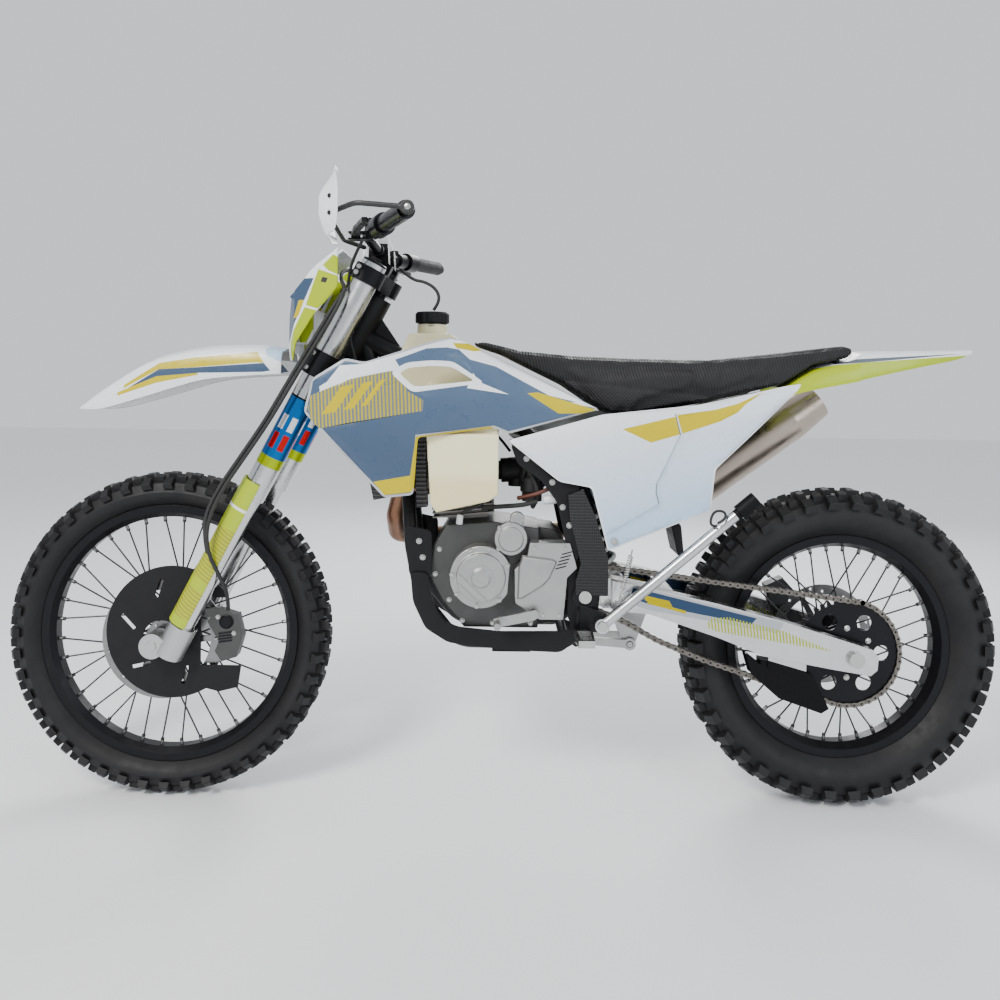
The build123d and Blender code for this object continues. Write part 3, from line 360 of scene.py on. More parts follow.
def tube_material():
    """Brushed fork tube with coloured bands near its lower end."""
    f = brushed("fork_tube", (0.56, 0.57, 0.58), 0.26, (1, 1, 0.05))
    t = f.along(tuple(UP), tuple(TUBE_BASE))
    cross = f.along((1, 0, -0.5), tuple(TUBE_BASE))
    for low, high, colour in ((0.440, 0.462, LIME), (0.462, 0.600, FORK_BLUE), (0.480, 0.515, FORK_RED),
                              (0.524, 0.556, FORK_WHITE), (0.596, 0.600, (0.01, 0.01, 0.012))):
        f.paint(f.band(t, low, high), colour, 0.35)
    for low, high in ((0.480, 0.515), (0.524, 0.556)):
        f.paint(f.math("MULTIPLY", f.band(t, low, high), f.stripes(cross, 0.024, 0.45)), FORK_BLUE)
    return f.done()


def guard_material():
    """Lime fork guard with a band of slanted ochre lines, broken by a plain lime band."""
    f = Finish("fork_guard_film", LIME, 0.36, mottle=0.03, relief=0.04, round_edge=EDGE)
    t = f.along(tuple(UP), tuple(TUBE_BASE))
    slant = f.along((0.6, 0, 0.8))
    lines = f.math("MULTIPLY", f.band(t, 0.085, 0.29), f.stripes(slant, 0.0075, 0.5))
    f.paint(lines, (0.30, 0.26, 0.02))
    f.paint(f.math("MULTIPLY", f.band(t, 0.150, 0.172), f.math("GREATER_THAN", slant, -10)), LIME)
    f.paint(f.band(t, 0.335, 0.341), (0.75, 0.77, 0.78))
    return f.done()


def arm_material():
    """Polished swingarm with a film on its outer faces."""
    f = brushed("swingarm_alloy", (0.60, 0.60, 0.60), 0.27, (0.06, 1, 1))

    def film(corners, colour):
        f.paint(f.polygon(corners), colour, 0.3)

    film([(262, 492), (304, 482), (444, 452), (585, 416), (560, 380), (446, 392), (306, 438), (246, 448)],
         (0.44, 0.46, 0.48))
    film([(270, 485), (304, 477), (444, 447), (528, 426), (500, 394), (446, 404), (306, 450), (262, 458)],
         BLUE_GREY)
    film([(290, 470), (345, 458), (352, 446), (296, 458)], YELLOW)
    film([(300, 458), (380, 438), (380, 432), (300, 452)], YELLOW)
    mask = f.polygon([(420, 400), (445, 396), (541, 360), (682, 330), (700, 352), (585, 398), (470, 426),
                      (430, 424)])
    lines = f.stripes(f.along((1, 0, 0.12)), 0.0066, 0.5)
    f.paint(f.math("MULTIPLY", mask, lines), (0.40, 0.45, 0.03), 0.3)
    guide = f.math("LESS_THAN", f.along((0.28, 0, 1), (0.53, 0, 0.338)), 0)
    behind = f.math("GREATER_THAN", f.along((1, 0, 0)), 0.51)
    f.paint(f.math("MULTIPLY", guide, behind), MATT_BLACK, 0.5)
    return f.done()


def fender_material(name, front):
    f = Finish(name, WHITE, 0.28, mottle=0.015, relief=0.03)
    if front:
        f.paint(f.polygon([(-560, 977), (-526, 963), (-497, 924), (-490, 900), (-400, 900), (-400, 1000),
                           (-560, 1000)]), PALE_BLUE)
        f.paint(f.ribbon([(-812, 882, 889), (-735, 924, 937), (-657, 929, 950), (-526, 941, 963)]), YELLOW)
        f.paint(f.polygon([(-527, 941), (-511, 940), (-526, 963)]), YELLOW)
        f.paint(f.ribbon([(-802, 877, 883), (-735, 905, 924), (-652, 917, 929), (-511, 921, 940)]),
                BLUE_GREY)
        f.paint(f.polygon([(-512, 921), (-497, 924), (-511, 940)]), BLUE_GREY)
        f.paint(f.ribbon([(-826, 866, 873), (-739, 895, 909), (-650, 913, 917)]), YELLOW)
        # Painted shade: the down-facing underside of the white front fender is painted grey.
        f.paint(f.facing((0, 0, -1), 0.25), (0.22, 0.22, 0.215))
    else:
        f.paint(f.polygon([(560, 800), (560, 926), (700, 952), (760, 958), (1040, 981), (1040, 800)]), LIME)
        f.paint(f.polygon([(700, 962), (760, 966), (1030, 984), (1030, 979), (760, 958), (700, 952)]),
                (0.10, 0.12, 0.14))
        f.paint(f.polygon([(350, 500), (350, 700), (450, 700), (450, 500)]), MATT_BLACK, 0.5)
    return f.done()


def mask_material():
    f = Finish("nose_film", WHITE, 0.3, mottle=0.02, relief=0.03, Specular_IOR_Level=0.35)
    side = f.math("GREATER_THAN", f.math("ABSOLUTE", f.along((0, 1, 0))), 0.055)
    for corners in ([(-520, 980), (-520, 1118), (-402, 1118), (-468, 980)],
                    [(-520, 930), (-520, 980), (-468, 980), (-468, 930)]):
        f.paint(f.polygon(corners), BLUE_GREY)
    f.paint(f.polygon([(-437, 1073), (-424, 1073), (-437, 1040), (-450, 1033)]), YELLOW)
    for corners in ([(-392, 1136), (-343, 1120), (-360, 1083), (-393, 1054), (-420, 1062)],
                    [(-423, 1058), (-395, 1050), (-428, 981), (-451, 942), (-464, 980)],
                    [(-383, 1145), (-361, 1167), (-329, 1149), (-347, 1123), (-372, 1134)]):
        f.paint(f.math("MULTIPLY", side, f.polygon(corners)), LIME)
    f.paint(f.math("MULTIPLY", side, f.polygon([(-384, 1120), (-372, 1118), (-376, 1108), (-387, 1110)])),
            (0.02, 0.02, 0.02), 0.5)
    return f.done()


def seat_material():
    """Ribbed top, fine diamond mesh on the flanks."""
    f = Finish("seat_cover", (0.010, 0.010, 0.011), 0.6, mottle=0.12, patch=10, grain=900, relief=0.65,
               Specular_IOR_Level=0.3)
    ribs = f.math("SINE", f.math("MULTIPLY", f.along((1, 0, 0.25)), 2 * math.pi / 0.0062))
    a = f.math("SINE", f.math("MULTIPLY", f.along((1, 0, 0.9)), 2 * math.pi / 0.0075))
    b = f.math("SINE", f.math("MULTIPLY", f.along((1, 0, -0.9)), 2 * math.pi / 0.0075))
    mesh = f.math("MAXIMUM", a, b)
    line = f.along((0.10, 0, 1), (0.25, 0, 0.900))
    flank = f.ramp(line, 1.0, 0.0, -0.004, 0.004)
    wave = f.math("ADD", f.math("MULTIPLY", mesh, flank),
                  f.math("MULTIPLY", ribs, f.math("SUBTRACT", 1, flank)))
    f.emboss(wave, 1.1)
    # Painted highlight: the raised ribs and mesh of the cover are painted lighter.
    crest_highlight = f.math("MULTIPLY", f.ramp(wave, 0.0, 1.0, 0.3, 1.0), 0.5)
    f.colour = f.mix(crest_highlight, f.colour, (0.032, 0.032, 0.034))
    return f.done()


def grip_material():
    """Diamond grip pattern moulded into the frame guards."""
    pitch = 0.0085
    f = Finish("frame_guard_grip", (0.008, 0.008, 0.009), 0.42, mottle=0.1, relief=0.7, round_edge=EDGE,
               Specular_IOR_Level=0.3)
    a = f.math("SINE", f.math("MULTIPLY", f.along((1, 0, 0.7)), 2 * math.pi / pitch))
    b = f.math("SINE", f.math("MULTIPLY", f.along((1, 0, -0.7)), 2 * math.pi / pitch))
    weave = f.math("MULTIPLY", a, b)
    f.emboss(weave, 1.6)
    # Painted highlight: the raised diamonds of the grip are painted lighter.
    f.colour = f.mix(f.math("MULTIPLY", f.ramp(weave, 0.0, 1.0, 0.0, 0.6), 0.6), f.colour,
                     (0.03, 0.032, 0.036))
    return f.done()


def ringed_rubber():
    f = Finish("grip_rubber", (0.016, 0.016, 0.017), 0.62, relief=0.6)
    f.emboss(f.math("SINE", f.math("MULTIPLY", f.along((0, 1, 0)), 2 * math.pi / 0.006)), 2.0)
    return f.done()


def radiator_material():
    f = Finish("radiator_core", (0.02, 0.02, 0.021), 0.45, 0.4, relief=0.8)
    fins = f.math("SINE", f.math("MULTIPLY", f.along((0, 0, 1)), 2 * math.pi / 0.009))
    f.emboss(fins, 2.5)
    f.colour = f.mix(f.ramp(fins, 0.0, 0.6, 0.0, 1.0), f.colour, (0.10, 0.10, 0.10))
    return f.done()


def fin_material():
    """Dark cylinder with a painted highlight: faces turned towards -Y are painted light grey, standing for
    machined fin edges catching the light.
    """
    f = Finish("finned_alloy", (0.03, 0.03, 0.031), 0.5, 0.5, patch=30, grain=800, relief=0.4)
    return f.paint(f.facing((0, -1, 0), 0.8), (0.22, 0.21, 0.20)).done()


def header_material():
    f = Finish("header_pipe", (0.34, 0.27, 0.21), 0.36, 1.0, mottle=0.25, patch=9, relief=0.05)
    hot = f.ramp(f.along((1, 0, 0)), 1.0, 0.0, -0.26, 0.1)
    f.colour = f.mix(hot, f.colour, (0.20, 0.10, 0.06))
    return f.done()


def leg_material():
    """Chromed stanchion above a cast foot."""
    f = Finish("fork_leg", (0.62, 0.62, 0.62), 0.2, 1.0, mottle=0.06, uneven=0.04, relief=0.1,
               round_edge=EDGE)
    t = f.along(tuple(UP), tuple(TUBE_BASE))
    foot = f.math("LESS_THAN", t, 0.062)
    f.paint(foot, (0.50, 0.50, 0.50), 0.42)
    return f.done()


def stand_material():
    f = brushed("kickstand_alloy", (0.56, 0.57, 0.58), 0.28, (1, 1, 1))
    reach = f.along((0.759, 0, 0.651), (0.204, 0, 0.412))
    f.paint(f.math("GREATER_THAN", reach, 0.352), (0.016, 0.016, 0.017), 0.55)
    return f.done()


shroud_blue, shroud_stripes = blue_film(), stripe_film()
panel_white = side_white()
tank_skin = tank_material()
tube_alloy = tube_material()
arm_alloy = arm_material()
chrome = Finish("chrome", (0.72, 0.72, 0.72), 0.12, 1.0, mottle=0.04, uneven=0.03, relief=0.02).done()
disc_steel = brushed("brake_disc_steel", (0.24, 0.24, 0.24), 0.34, (1, 1, 1)).done()
header = header_material()
core = radiator_material()
guard_grip = grip_material()
seat_skin = seat_material()
grip_skin = ringed_rubber()

CAD_FINISH = {
    "front_rim": anodised, "rear_rim": anodised, "front_disc": disc_steel, "rear_disc": disc_steel,
    "fork_outer_tubes": tube_alloy, "fork_inner_tubes": leg_material(), "fork_guards": guard_material(),
    # Painted shade: the front caliper below takes the darkened copy of the cast alloy.
    "front_caliper": shaded_cast, "disc_guard": black_plastic, "triple_clamps": anodised,
    "handlebar": anodised, "control_perches": anodised, "clutch_lever": anodised,
    "front_brake_lever": anodised, "start_button": red, "throttle_grip": grip_skin,
    "main_frame": paint_black, "subframe": paint_black, "frame_bolts": steel, "frame_guards": guard_grip,
    "cylinder_and_head": fin_material(), "intake": black_plastic, "exhaust_header": header,
    "silencer": titanium, "radiators": core, "swingarm": arm_alloy, "rear_axle": steel,
    "rear_caliper": dark_cast, "rear_sprocket": anodised, "front_sprocket": chain_metal,
    "shock_body": anodised, "shock_shaft": chrome, "rocker": cast, "pull_rods": cast,
    "kickstand": stand_material(), "shift_lever": cast, "rear_brake_pedal": cast, "left_footpeg": steel,
    "right_footpeg": steel,
    "front_hub_and_spokes": wheel_metal("front_wheel_metal", tuple(FRONT_AXLE), 0.043, 0.244),
    "rear_hub_and_spokes": wheel_metal("rear_wheel_metal", tuple(REAR_AXLE), 0.053, 0.206),
}


def dress_cad():
    for name, finish in CAD_FINISH.items():
        slots = NODES[name].data.materials
        slots.clear()
        slots.append(finish)


# ------------------------------------------------------------------ mesh helpers
def new_object(name, mesh, *finishes):
    made = bpy.data.objects.new(name, mesh)
    bpy.context.scene.collection.objects.link(made)
    for finish in finishes:
        mesh.materials.append(finish)
    return made


def from_bmesh(name, bm, *finishes):
    bmesh.ops.recalc_face_normals(bm, faces=bm.faces)
    mesh = bpy.data.meshes.new(name)
    bm.to_mesh(mesh)
    bm.free()
    return new_object(name, mesh, *finishes)


def settle(made, angle=32):
    """Applies the modifiers; edges sharper than the angle stay crisp."""
    depsgraph = bpy.context.evaluated_depsgraph_get()
    mesh = bpy.data.meshes.new_from_object(made.evaluated_get(depsgraph), preserve_all_data_layers=True,
                                           depsgraph=depsgraph)
    made.modifiers.clear()
    made.data = mesh
    mesh.name = made.name
    mesh.shade_smooth()
    mesh.set_sharp_from_angle(angle=math.radians(angle))
    return made


def modifier(made, kind, **settings):
    added = made.modifiers.new(kind.lower(), kind)
    for key, value in settings.items():
        setattr(added, key, value)
    return added


def bevel(made, width, segments=2, angle=30):
    modifier(made, "BEVEL", width=width, segments=segments, limit_method="ANGLE",
             angle_limit=math.radians(angle))


def mount(made, body, slot, *replaced):
    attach(made, body)
    if replaced:
        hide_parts(*replaced)
    return made


def solid(name, bm, finish, body, slot, *replaced, sharp=30):
    """A finished piece from a bmesh, riding a body."""
    return mount(settle(from_bmesh(name, bm, finish), sharp), body, slot, *replaced)


def at(points, y):
    """Points (x, z) in millimetres placed at a distance across the machine."""
    return [Vector((x, y, z)) * MM for x, z in points]


def rounded(points, radius, steps=4):
    """Closed outline with every corner rounded where there is room."""
    out = []
    count = len(points)
    for k in range(count):
        before, here, after = (Vector(points[(k + d) % count]) for d in (-1, 0, 1))
        a, b = before - here, after - here
        reach = min(radius, 0.4 * a.length, 0.4 * b.length)
        p, q = here + a.normalized() * reach, here + b.normalized() * reach
        for s in range(steps + 1):
            t = s / steps
            out.append(tuple((1 - t) ** 2 * p + 2 * t * (1 - t) * here + t ** 2 * q))
    return out


def inside(point, polygon):
    x, y = point
    odd = False
    for (x0, y0), (x1, y1) in zip(polygon, polygon[1:] + polygon[:1]):
        if (y0 > y) != (y1 > y) and x < (x1 - x0) * (y - y0) / (y1 - y0) + x0:
            odd = not odd
    return odd


def interpolate(x, table):
    if x <= table[0][0]:
        return table[0][1]
    for (x0, y0), (x1, y1) in zip(table, table[1:]):
        if x <= x1:
            t = (x - x0) / (x1 - x0)
            return y0 + (y1 - y0) * (t * t * (3 - 2 * t) * 0.5 + t * 0.5)
    return table[-1][1]


def smooth_step(value, low, high):
    t = max(0.0, min(1.0, (value - low) / (high - low)))
    return t * t * (3 - 2 * t)


def panel(name, outline, depth, finishes, holes=(), regions=(), thickness=3.0, grid=15, side=-1):
    """Moulded sheet: outline, holes and coloured regions in (x, z) millimetres, depth(x, z) gives |y|."""
    points, edges = [], []

    def loop(corners):
        first = len(points)
        points.extend(corners)
        edges.extend((first + k, first + (k + 1) % len(corners)) for k in range(len(corners)))

    loop(outline)
    for corners in list(holes) + [corners for corners, _ in regions]:
        loop(corners)
    xs, zs = [p[0] for p in outline], [p[1] for p in outline]
    x = min(xs) + grid / 2
    while x < max(xs):
        z = min(zs) + grid / 2
        while z < max(zs):
            if inside((x, z), outline):
                points.append((x, z))
            z += grid
        x += grid
    flat, _, triangles, *_ = delaunay_2d_cdt([Vector(p) for p in points], edges, [], 0, 1e-3)
    bm = bmesh.new()
    corners = [bm.verts.new((p.x * MM, side * depth(p.x, p.y) * MM, p.y * MM)) for p in flat]
    for triangle in triangles:
        middle = sum((flat[k] for k in triangle), Vector((0, 0))) / 3
        if not inside(middle, outline) or any(inside(middle, hole) for hole in holes):
            continue
        face = bm.faces.new([corners[k] for k in triangle])
        for region, index in regions:
            if inside(middle, region):
                face.material_index = index
    bmesh.ops.delete(bm, geom=[v for v in bm.verts if not v.link_faces], context="VERTS")
    bmesh.ops.recalc_face_normals(bm, faces=bm.faces)
    if sum(f.normal.y for f in bm.faces) * side < 0:
        bmesh.ops.reverse_faces(bm, faces=bm.faces)
    mesh = bpy.data.meshes.new(name)
    bm.to_mesh(mesh)
    bm.free()
    made = new_object(name, mesh, *finishes)
    modifier(made, "SOLIDIFY", thickness=thickness * MM, offset=-1)
    bevel(made, 0.0009, 2, 50)
    return settle(made, 40)


def revolve(profile, centre, steps=96):
    """Closed (radius, height) profile in metres turned about the Y axis through centre."""
    bm = bmesh.new()
    rings = []
    for k in range(steps):
        angle = 2 * math.pi * k / steps
        c, s = math.cos(angle), math.sin(angle)
        rings.append([bm.verts.new(Vector(centre) + Vector((r * c, h, r * s))) for r, h in profile])
    count = len(profile)
    for a, b in zip(rings, rings[1:] + rings[:1]):
        for k in range(count):
            bm.faces.new((a[k], a[(k + 1) % count], b[(k + 1) % count], b[k]))
    return bm


def cad_pieces(node):
    """Loose solids of a CAD node as separate bmeshes."""
    source = bmesh.new()
    source.from_mesh(NODES[node].data)
    bmesh.ops.remove_doubles(source, verts=source.verts, dist=1e-6)
    source.verts.ensure_lookup_table()
    seen, found = set(), []
    for start in source.verts:
        if start.index in seen:
            continue
        group, stack = [], [start]
        seen.add(start.index)
        while stack:
            vertex = stack.pop()
            group.append(vertex)
            for edge in vertex.link_edges:
                other = edge.other_vert(vertex)
                if other.index not in seen:
                    seen.add(other.index)
                    stack.append(other)
        piece = bmesh.new()
        copies = {v.index: piece.verts.new(v.co) for v in group}
        for face in {f for v in group for f in v.link_faces}:
            piece.faces.new([copies[v.index] for v in face.verts])
        found.append(piece)
    source.free()
    return found


def moulded(name, node, finish, voxel=2.0, smooth=4, keep=None):
    """Copy of a CAD node's solids with its edges rounded over, as a moulding or casting has them."""
    joined = bmesh.new()
    for piece in cad_pieces(node):
        low = Vector([min(v.co[k] for v in piece.verts) for k in range(3)])
        high = Vector([max(v.co[k] for v in piece.verts) for k in range(3)])
        if keep is None or keep(low, high):
            mesh = bpy.data.meshes.new("piece")
            piece.to_mesh(mesh)
            joined.from_mesh(mesh)
            bpy.data.meshes.remove(mesh)
        piece.free()
    made = from_bmesh(name, joined, finish)
    modifier(made, "REMESH", mode="VOXEL", voxel_size=voxel * MM)
    modifier(made, "SMOOTH", factor=0.5, iterations=smooth)
    settle(made, 180)
    return made


def block(bm, corners_low, corners_high):
    """Prism between two rings of corners."""
    low = [bm.verts.new(p) for p in corners_low]
    high = [bm.verts.new(p) for p in corners_high]
    bm.faces.new(low[::-1])
    bm.faces.new(high)
    for k in range(len(low)):
        bm.faces.new((low[k], low[(k + 1) % len(low)], high[(k + 1) % len(low)], high[k]))


def turned(bm, start, axis, profile, steps=24):
    """Solid of revolution: profile of (distance, radius) along an axis from start."""
    axis = Vector(axis).normalized()
    u = axis.orthogonal().normalized()
    v = axis.cross(u)
    rings = []
    for distance, radius in profile:
        centre = Vector(start) + axis * distance
        rings.append([bm.verts.new(centre + (u * math.cos(a) + v * math.sin(a)) * radius)
                      for a in (2 * math.pi * k / steps for k in range(steps))])
    bm.faces.new(rings[0][::-1])
    bm.faces.new(rings[-1])
    for a, b in zip(rings, rings[1:]):
        for k in range(steps):
            bm.faces.new((a[k], a[(k + 1) % steps], b[(k + 1) % steps], b[k]))


def bolt(bm, place, axis, radius, height):
    """Flanged hexagon bolt head, millimetres."""
    place = Vector(place) * MM
    turned(bm, place, axis, [(0, radius * 1.25 * MM), (height * 0.25 * MM, radius * 1.25 * MM)], 20)
    turned(bm, place, axis, [(height * 0.2 * MM, radius * MM), (height * 0.85 * MM, radius * MM),
                             (height * MM, radius * 0.85 * MM)], 6)


def face_y(made, x, z, side=-1):
    """Where a line along Y first meets an object from one side, millimetres."""
    hit, place, *_ = made.ray_cast(Vector((x, side * 600, z)) * MM, (0, -side, 0))
    assert hit, (made.name, x, z)
    return place.y / MM


def bolts(name, places, body, axis=(0, -1, 0), radius=5, height=5, finish=None, slot="steel"):
    bm = bmesh.new()
    for place in places:
        bolt(bm, place, axis, radius, height)
    return solid(name, bm, finish or steel, body, slot)


def tube_mesh(name, points, radius, finish):
    """Round tube on a smooth NURBS line; points and radius in millimetres."""
    curve = bpy.data.curves.new(name, "CURVE")
    curve.dimensions = "3D"
    line = curve.splines.new("NURBS")
    line.points.add(len(points) - 1)
    for point, place in zip(line.points, points):
        point.co = (*(Vector(place) * MM), 1)
    line.order_u, line.resolution_u, line.use_endpoint_u = 3, 8, True
    curve.bevel_depth, curve.bevel_resolution, curve.use_fill_caps = radius * MM, 6, True
    curve.materials.append(finish)
    holder = new_object(name + "_line", curve)
    depsgraph = bpy.context.evaluated_depsgraph_get()
    mesh = bpy.data.meshes.new_from_object(holder.evaluated_get(depsgraph))
    bpy.data.objects.remove(holder)
    mesh.shade_smooth()
    mesh.set_sharp_from_angle(angle=math.radians(50))
    return new_object(name, mesh)


# ------------------------------------------------------------------ wheels
def tyre(name, centre, node, body, finish, blocks, rows, crown, bead, rim_half, half, shoulder_y,
         shoulder_r, tread):
    """Casing under rows of tread blocks whose tops lie on the crown arc; all sizes in millimetres."""
    sagitta = crown - shoulder_r
    arc_r = (shoulder_y ** 2 + sagitta ** 2) / (2 * sagitta)
    arc_c = crown - arc_r
    flange = bead + FLANGE
    profile = [(bead, rim_half - 0.5), (flange, rim_half - 0.5)]
    bulge = (bead + crown) / 2
    for t in (0.25, 0.5, 0.75, 1.0):
        y = rim_half + (half - 3 - rim_half) * math.sin(t * math.pi / 2)
        profile.append((flange + (bulge - flange) * t, y))
    casing = arc_r - tread
    edge = math.asin(min(0.97, shoulder_y / arc_r))
    for t in (1.0, 0.8, 0.6, 0.4, 0.2, 0.0):
        profile.append((arc_c + casing * math.cos(edge * t), casing * math.sin(edge * t)))
    outer = profile + [(r, -y) for r, y in reversed(profile[:-1])]
    inner = [(r, y) for r, y in ((bead, rim_half - 8), (bulge, half - 12), (crown - tread - 6, 0))]
    inner += [(r, -y) for r, y in reversed(inner[:-1])]
    section = [(r * MM, y * MM) for r, y in outer + inner[::-1]]
    bm = revolve(section, centre, 144)
    for k in range(blocks):
        angle = 2 * math.pi * k / blocks
        for y, lateral, tangential in rows[k % len(rows)]:
            out = Vector((math.cos(angle), 0, math.sin(angle)))
            tangent = Vector((-math.sin(angle), 0, math.cos(angle)))
            lean = math.asin(y / arc_r)
            normal = out * math.cos(lean) + Vector((0, math.sin(lean), 0))
            across = Vector((0, math.cos(lean), 0)) - out * math.sin(lean)
            origin = Vector(centre) + out * arc_c * MM
            rings = []
            for height, scale in ((casing - 2, 1.14), (arc_r - 1.2, 0.94), (arc_r - 0.15, 0.84)):
                middle = origin + normal * height * MM
                rings.append([middle + (across * a * lateral + tangent * b * tangential) * scale * MM
                              for a, b in ((-1, -1), (1, -1), (1, 1), (-1, 1))])
            block(bm, rings[0], rings[1])
            block(bm, rings[1], rings[2])
    solid(name, bm, finish, body, "tyre_rubber", node)


# Tread rows repeat round the tyre; each block has its place across, half width and half length.
FRONT_TYRE = {
    "blocks": 88, "crown": 350, "bead": 266.7, "rim_half": 20.3, "half": 45, "shoulder_y": 40,
    "shoulder_r": 336.5, "tread": 11,
    "rows": [[(-9.5, 7.5, 8.5), (9.5, 7.5, 8.5), (-42, 11.5, 9.5), (42, 11.5, 9.5)],
             [(-25, 7.0, 9.0), (25, 7.0, 9.0)]],
}
REAR_TYRE = {
    "blocks": 76, "crown": 342.2, "bead": 228.6, "rim_half": 27.3, "half": 59, "shoulder_y": 54,
    "shoulder_r": 326, "tread": 14,
    "rows": [[(-14, 11.5, 8.5), (14, 11.5, 8.5), (-57, 14.5, 11.5), (57, 14.5, 11.5)],
             [(-36, 9.5, 9.5), (36, 9.5, 9.5)]],
}
FLANGE = 13


def ring_of(centre, radius, y, count, turn=0.0):
    """Places evenly round a circle about an axis along Y, millimetres."""
    angles = [2 * math.pi * (k + turn) / count for k in range(count)]
    return [centre + Vector((radius * math.cos(a), y, radius * math.sin(a))) for a in angles]


def wheels():
    for end, axle, sizes in (("front", FRONT_AXLE, FRONT_TYRE), ("rear", REAR_AXLE, REAR_TYRE)):
        rubber = tyre_material(f"{end}_tyre_rubber", tuple(axle), (sizes["bead"] + FLANGE) * MM)
        tyre(f"{end}_tyre_tread", axle, f"{end}_tyre", f"{end}_wheel", rubber, **sizes)
    hub = FRONT_AXLE / MM
    bolts("front_disc_bolts", ring_of(hub, 30, -59, 6), "front_wheel", radius=3, height=3)
    hub = REAR_AXLE / MM
    bolts("sprocket_bolts", ring_of(hub, 52, -74.5, 6, 0.5), "rear_wheel", radius=5, height=4)
    bolts("rear_disc_bolts", ring_of(hub, 36, 70, 6), "rear_wheel", (0, 1, 0), 3.5, 3)


# ------------------------------------------------------------------ bodywork
SHROUD_PLAN = [(-412, 186), (-320, 188), (-160, 172), (0, 140), (210, 116)]
SHROUD = [(-398, 861), (-385, 909), (-321, 950), (-282, 942), (-157, 985), (-112, 996), (-81, 986),
          (197, 852), (7, 800), (-22, 812), (-175, 793), (-183, 676), (-240, 670), (-402, 841)]
SCOOP = [(-214, 921), (-197, 932), (-150, 937), (-110, 936), (-62, 908), (-184, 894)]


def shroud_depth(x, z):
    y = interpolate(x, SHROUD_PLAN)
    top = smooth_step(z, 930 - 0.35 * (x + 160), 1000 - 0.35 * (x + 160))
    crease = smooth_step(z + 0.10 * x, 838, 866) - smooth_step(z + 0.10 * x, 846, 900)
    low = smooth_step(z, 860, 690)
    lip = 3.0 * (1 - smooth_step(edge_distance((x, z), SHROUD), 0, 9))
    around = 5.0 * (1 - smooth_step(edge_distance((x, z), SCOOP), 0, 34))
    return y - 10 * top - 6 * low * smooth_step(x, -400, -150) + 1.5 * crease - lip - around


def edge_distance(point, corners):
    best = 1e9
    p = Vector(point)
    for a, b in zip(corners, corners[1:] + corners[:1]):
        a, b = Vector(a), Vector(b)
        t = max(0.0, min(1.0, (p - a).dot(b - a) / (b - a).length_squared))
        best = min(best, (p - a.lerp(b, t)).length)
    return best


def inset(corners, amount):
    """Outline moved inwards by a distance."""
    area = sum(x0 * y1 - x1 * y0 for (x0, y0), (x1, y1) in zip(corners, corners[1:] + corners[:1]))
    out = []
    count = len(corners)
    for k in range(count):
        before, here, after = (Vector(corners[(k + d) % count]) for d in (-1, 0, 1))
        a, b = (here - before).normalized(), (after - here).normalized()
        na, nb = Vector((-a.y, a.x)), Vector((-b.y, b.x))
        if area < 0:
            na, nb = -na, -nb
        lean = max(0.35, 1 + na.dot(nb))
        out.append(tuple(here + (na + nb) * amount / lean))
    return out


def shrouds():
    outline = rounded(SHROUD, 9, 3)
    rim = inset(SHROUD, 5)
    scoop = rounded(SCOOP, 10, 3)
    frame_band = rounded(inset(SCOOP, -11), 12, 3)
    yellow_bottom = [(-240, 676), (-188, 682), (-186, 716), (-262, 703)]
    yellow_edge = [(-188, 682), (-182, 690), (-174, 784), (-28, 806), (-22, 812), (-30, 815), (-179, 794),
                   (-190, 712)]
    regions = [
        (inset(rim, 0), 1),
        ([(-388, 880), (-384, 903), (-322, 943), (-290, 936), (-384, 868)], 1),
        ([(-386, 862), (-370, 871), (-200, 906), (-206, 922), (-222, 948), (-160, 972), (-120, 975),
          (-60, 966), (-55, 985), (-112, 992), (-157, 980), (-285, 938), (-330, 935)], 4),
        ([(-394, 850), (-388, 874), (-310, 908), (-225, 926), (-214, 914), (-196, 885), (-165, 868),
          (-165, 846), (-383, 806)], 2),
        ([(-371, 892), (-318, 925), (-305, 925), (-315, 912), (-369, 882)], 4),
        ([(-78, 893), (186, 856), (-75, 980), (-100, 975), (-60, 940)], 4),
        ([(-108, 960), (-20, 938), (90, 880), (150, 866), (30, 872), (-52, 905), (-75, 935)], 1),
        (frame_band, 4),
        ([(-60, 984), (-30, 972), (-66, 968), (-100, 974), (-108, 984)], 3),
        ([(67, 886), (45, 884), (110, 843), (160, 843), (191, 851)], 3),
        ([(-366, 836), (-338, 842), (-300, 898), (-328, 892)], 3),
        ([(-322, 846), (-302, 850), (-264, 904), (-284, 901)], 3),
        ([(-288, 853), (-276, 856), (-240, 908), (-252, 906)], 3),
        (yellow_bottom, 3), (yellow_edge, 3),
    ]
    finishes = [grey_edge, shroud_blue, shroud_stripes, yellow_ink, white_moulding]
    for side, label in ((-1, "left"), (1, "right")):
        made = panel(f"{label}_shroud", outline, shroud_depth, finishes, [scoop], regions, 3.2, 13, side)
        mount(made, "frame", "shroud_plastic", "radiator_shrouds")


SIDE_PLAN = [(0, 134), (200, 140), (430, 133), (640, 103)]
SEAM_LINE = [(560, 130), (595, 208), (661, 318), (683, 312), (703, 313), (802, 361), (846, 350), (912, 330)]
SIDE = [(7, 786), (114, 703), (180, 692), (215, 563), (224, 565), (428, 646), (437, 732), (631, 912),
        (590, 906), (399, 864), (200, 842)]


SEAM = [(208, 595), (318, 661), (312, 683), (313, 703), (361, 802), (350, 846)]


def side_depth(x, z):
    y = interpolate(x, SIDE_PLAN)
    lip = 3.0 * (1 - smooth_step(edge_distance((x, z), SIDE), 0, 10))
    limit = interpolate(z, SEAM_LINE)
    raised = 6.0 * (1 - smooth_step(x - limit, -2, 9))
    hollow = 5.0 * smooth_step(x, 330, 400) * smooth_step(z, 860, 760) * smooth_step(x, 470, 400)
    top = 9.0 * smooth_step(z - 0.16 * x, 765, 835)
    return y - 6 + raised - hollow - lip - top


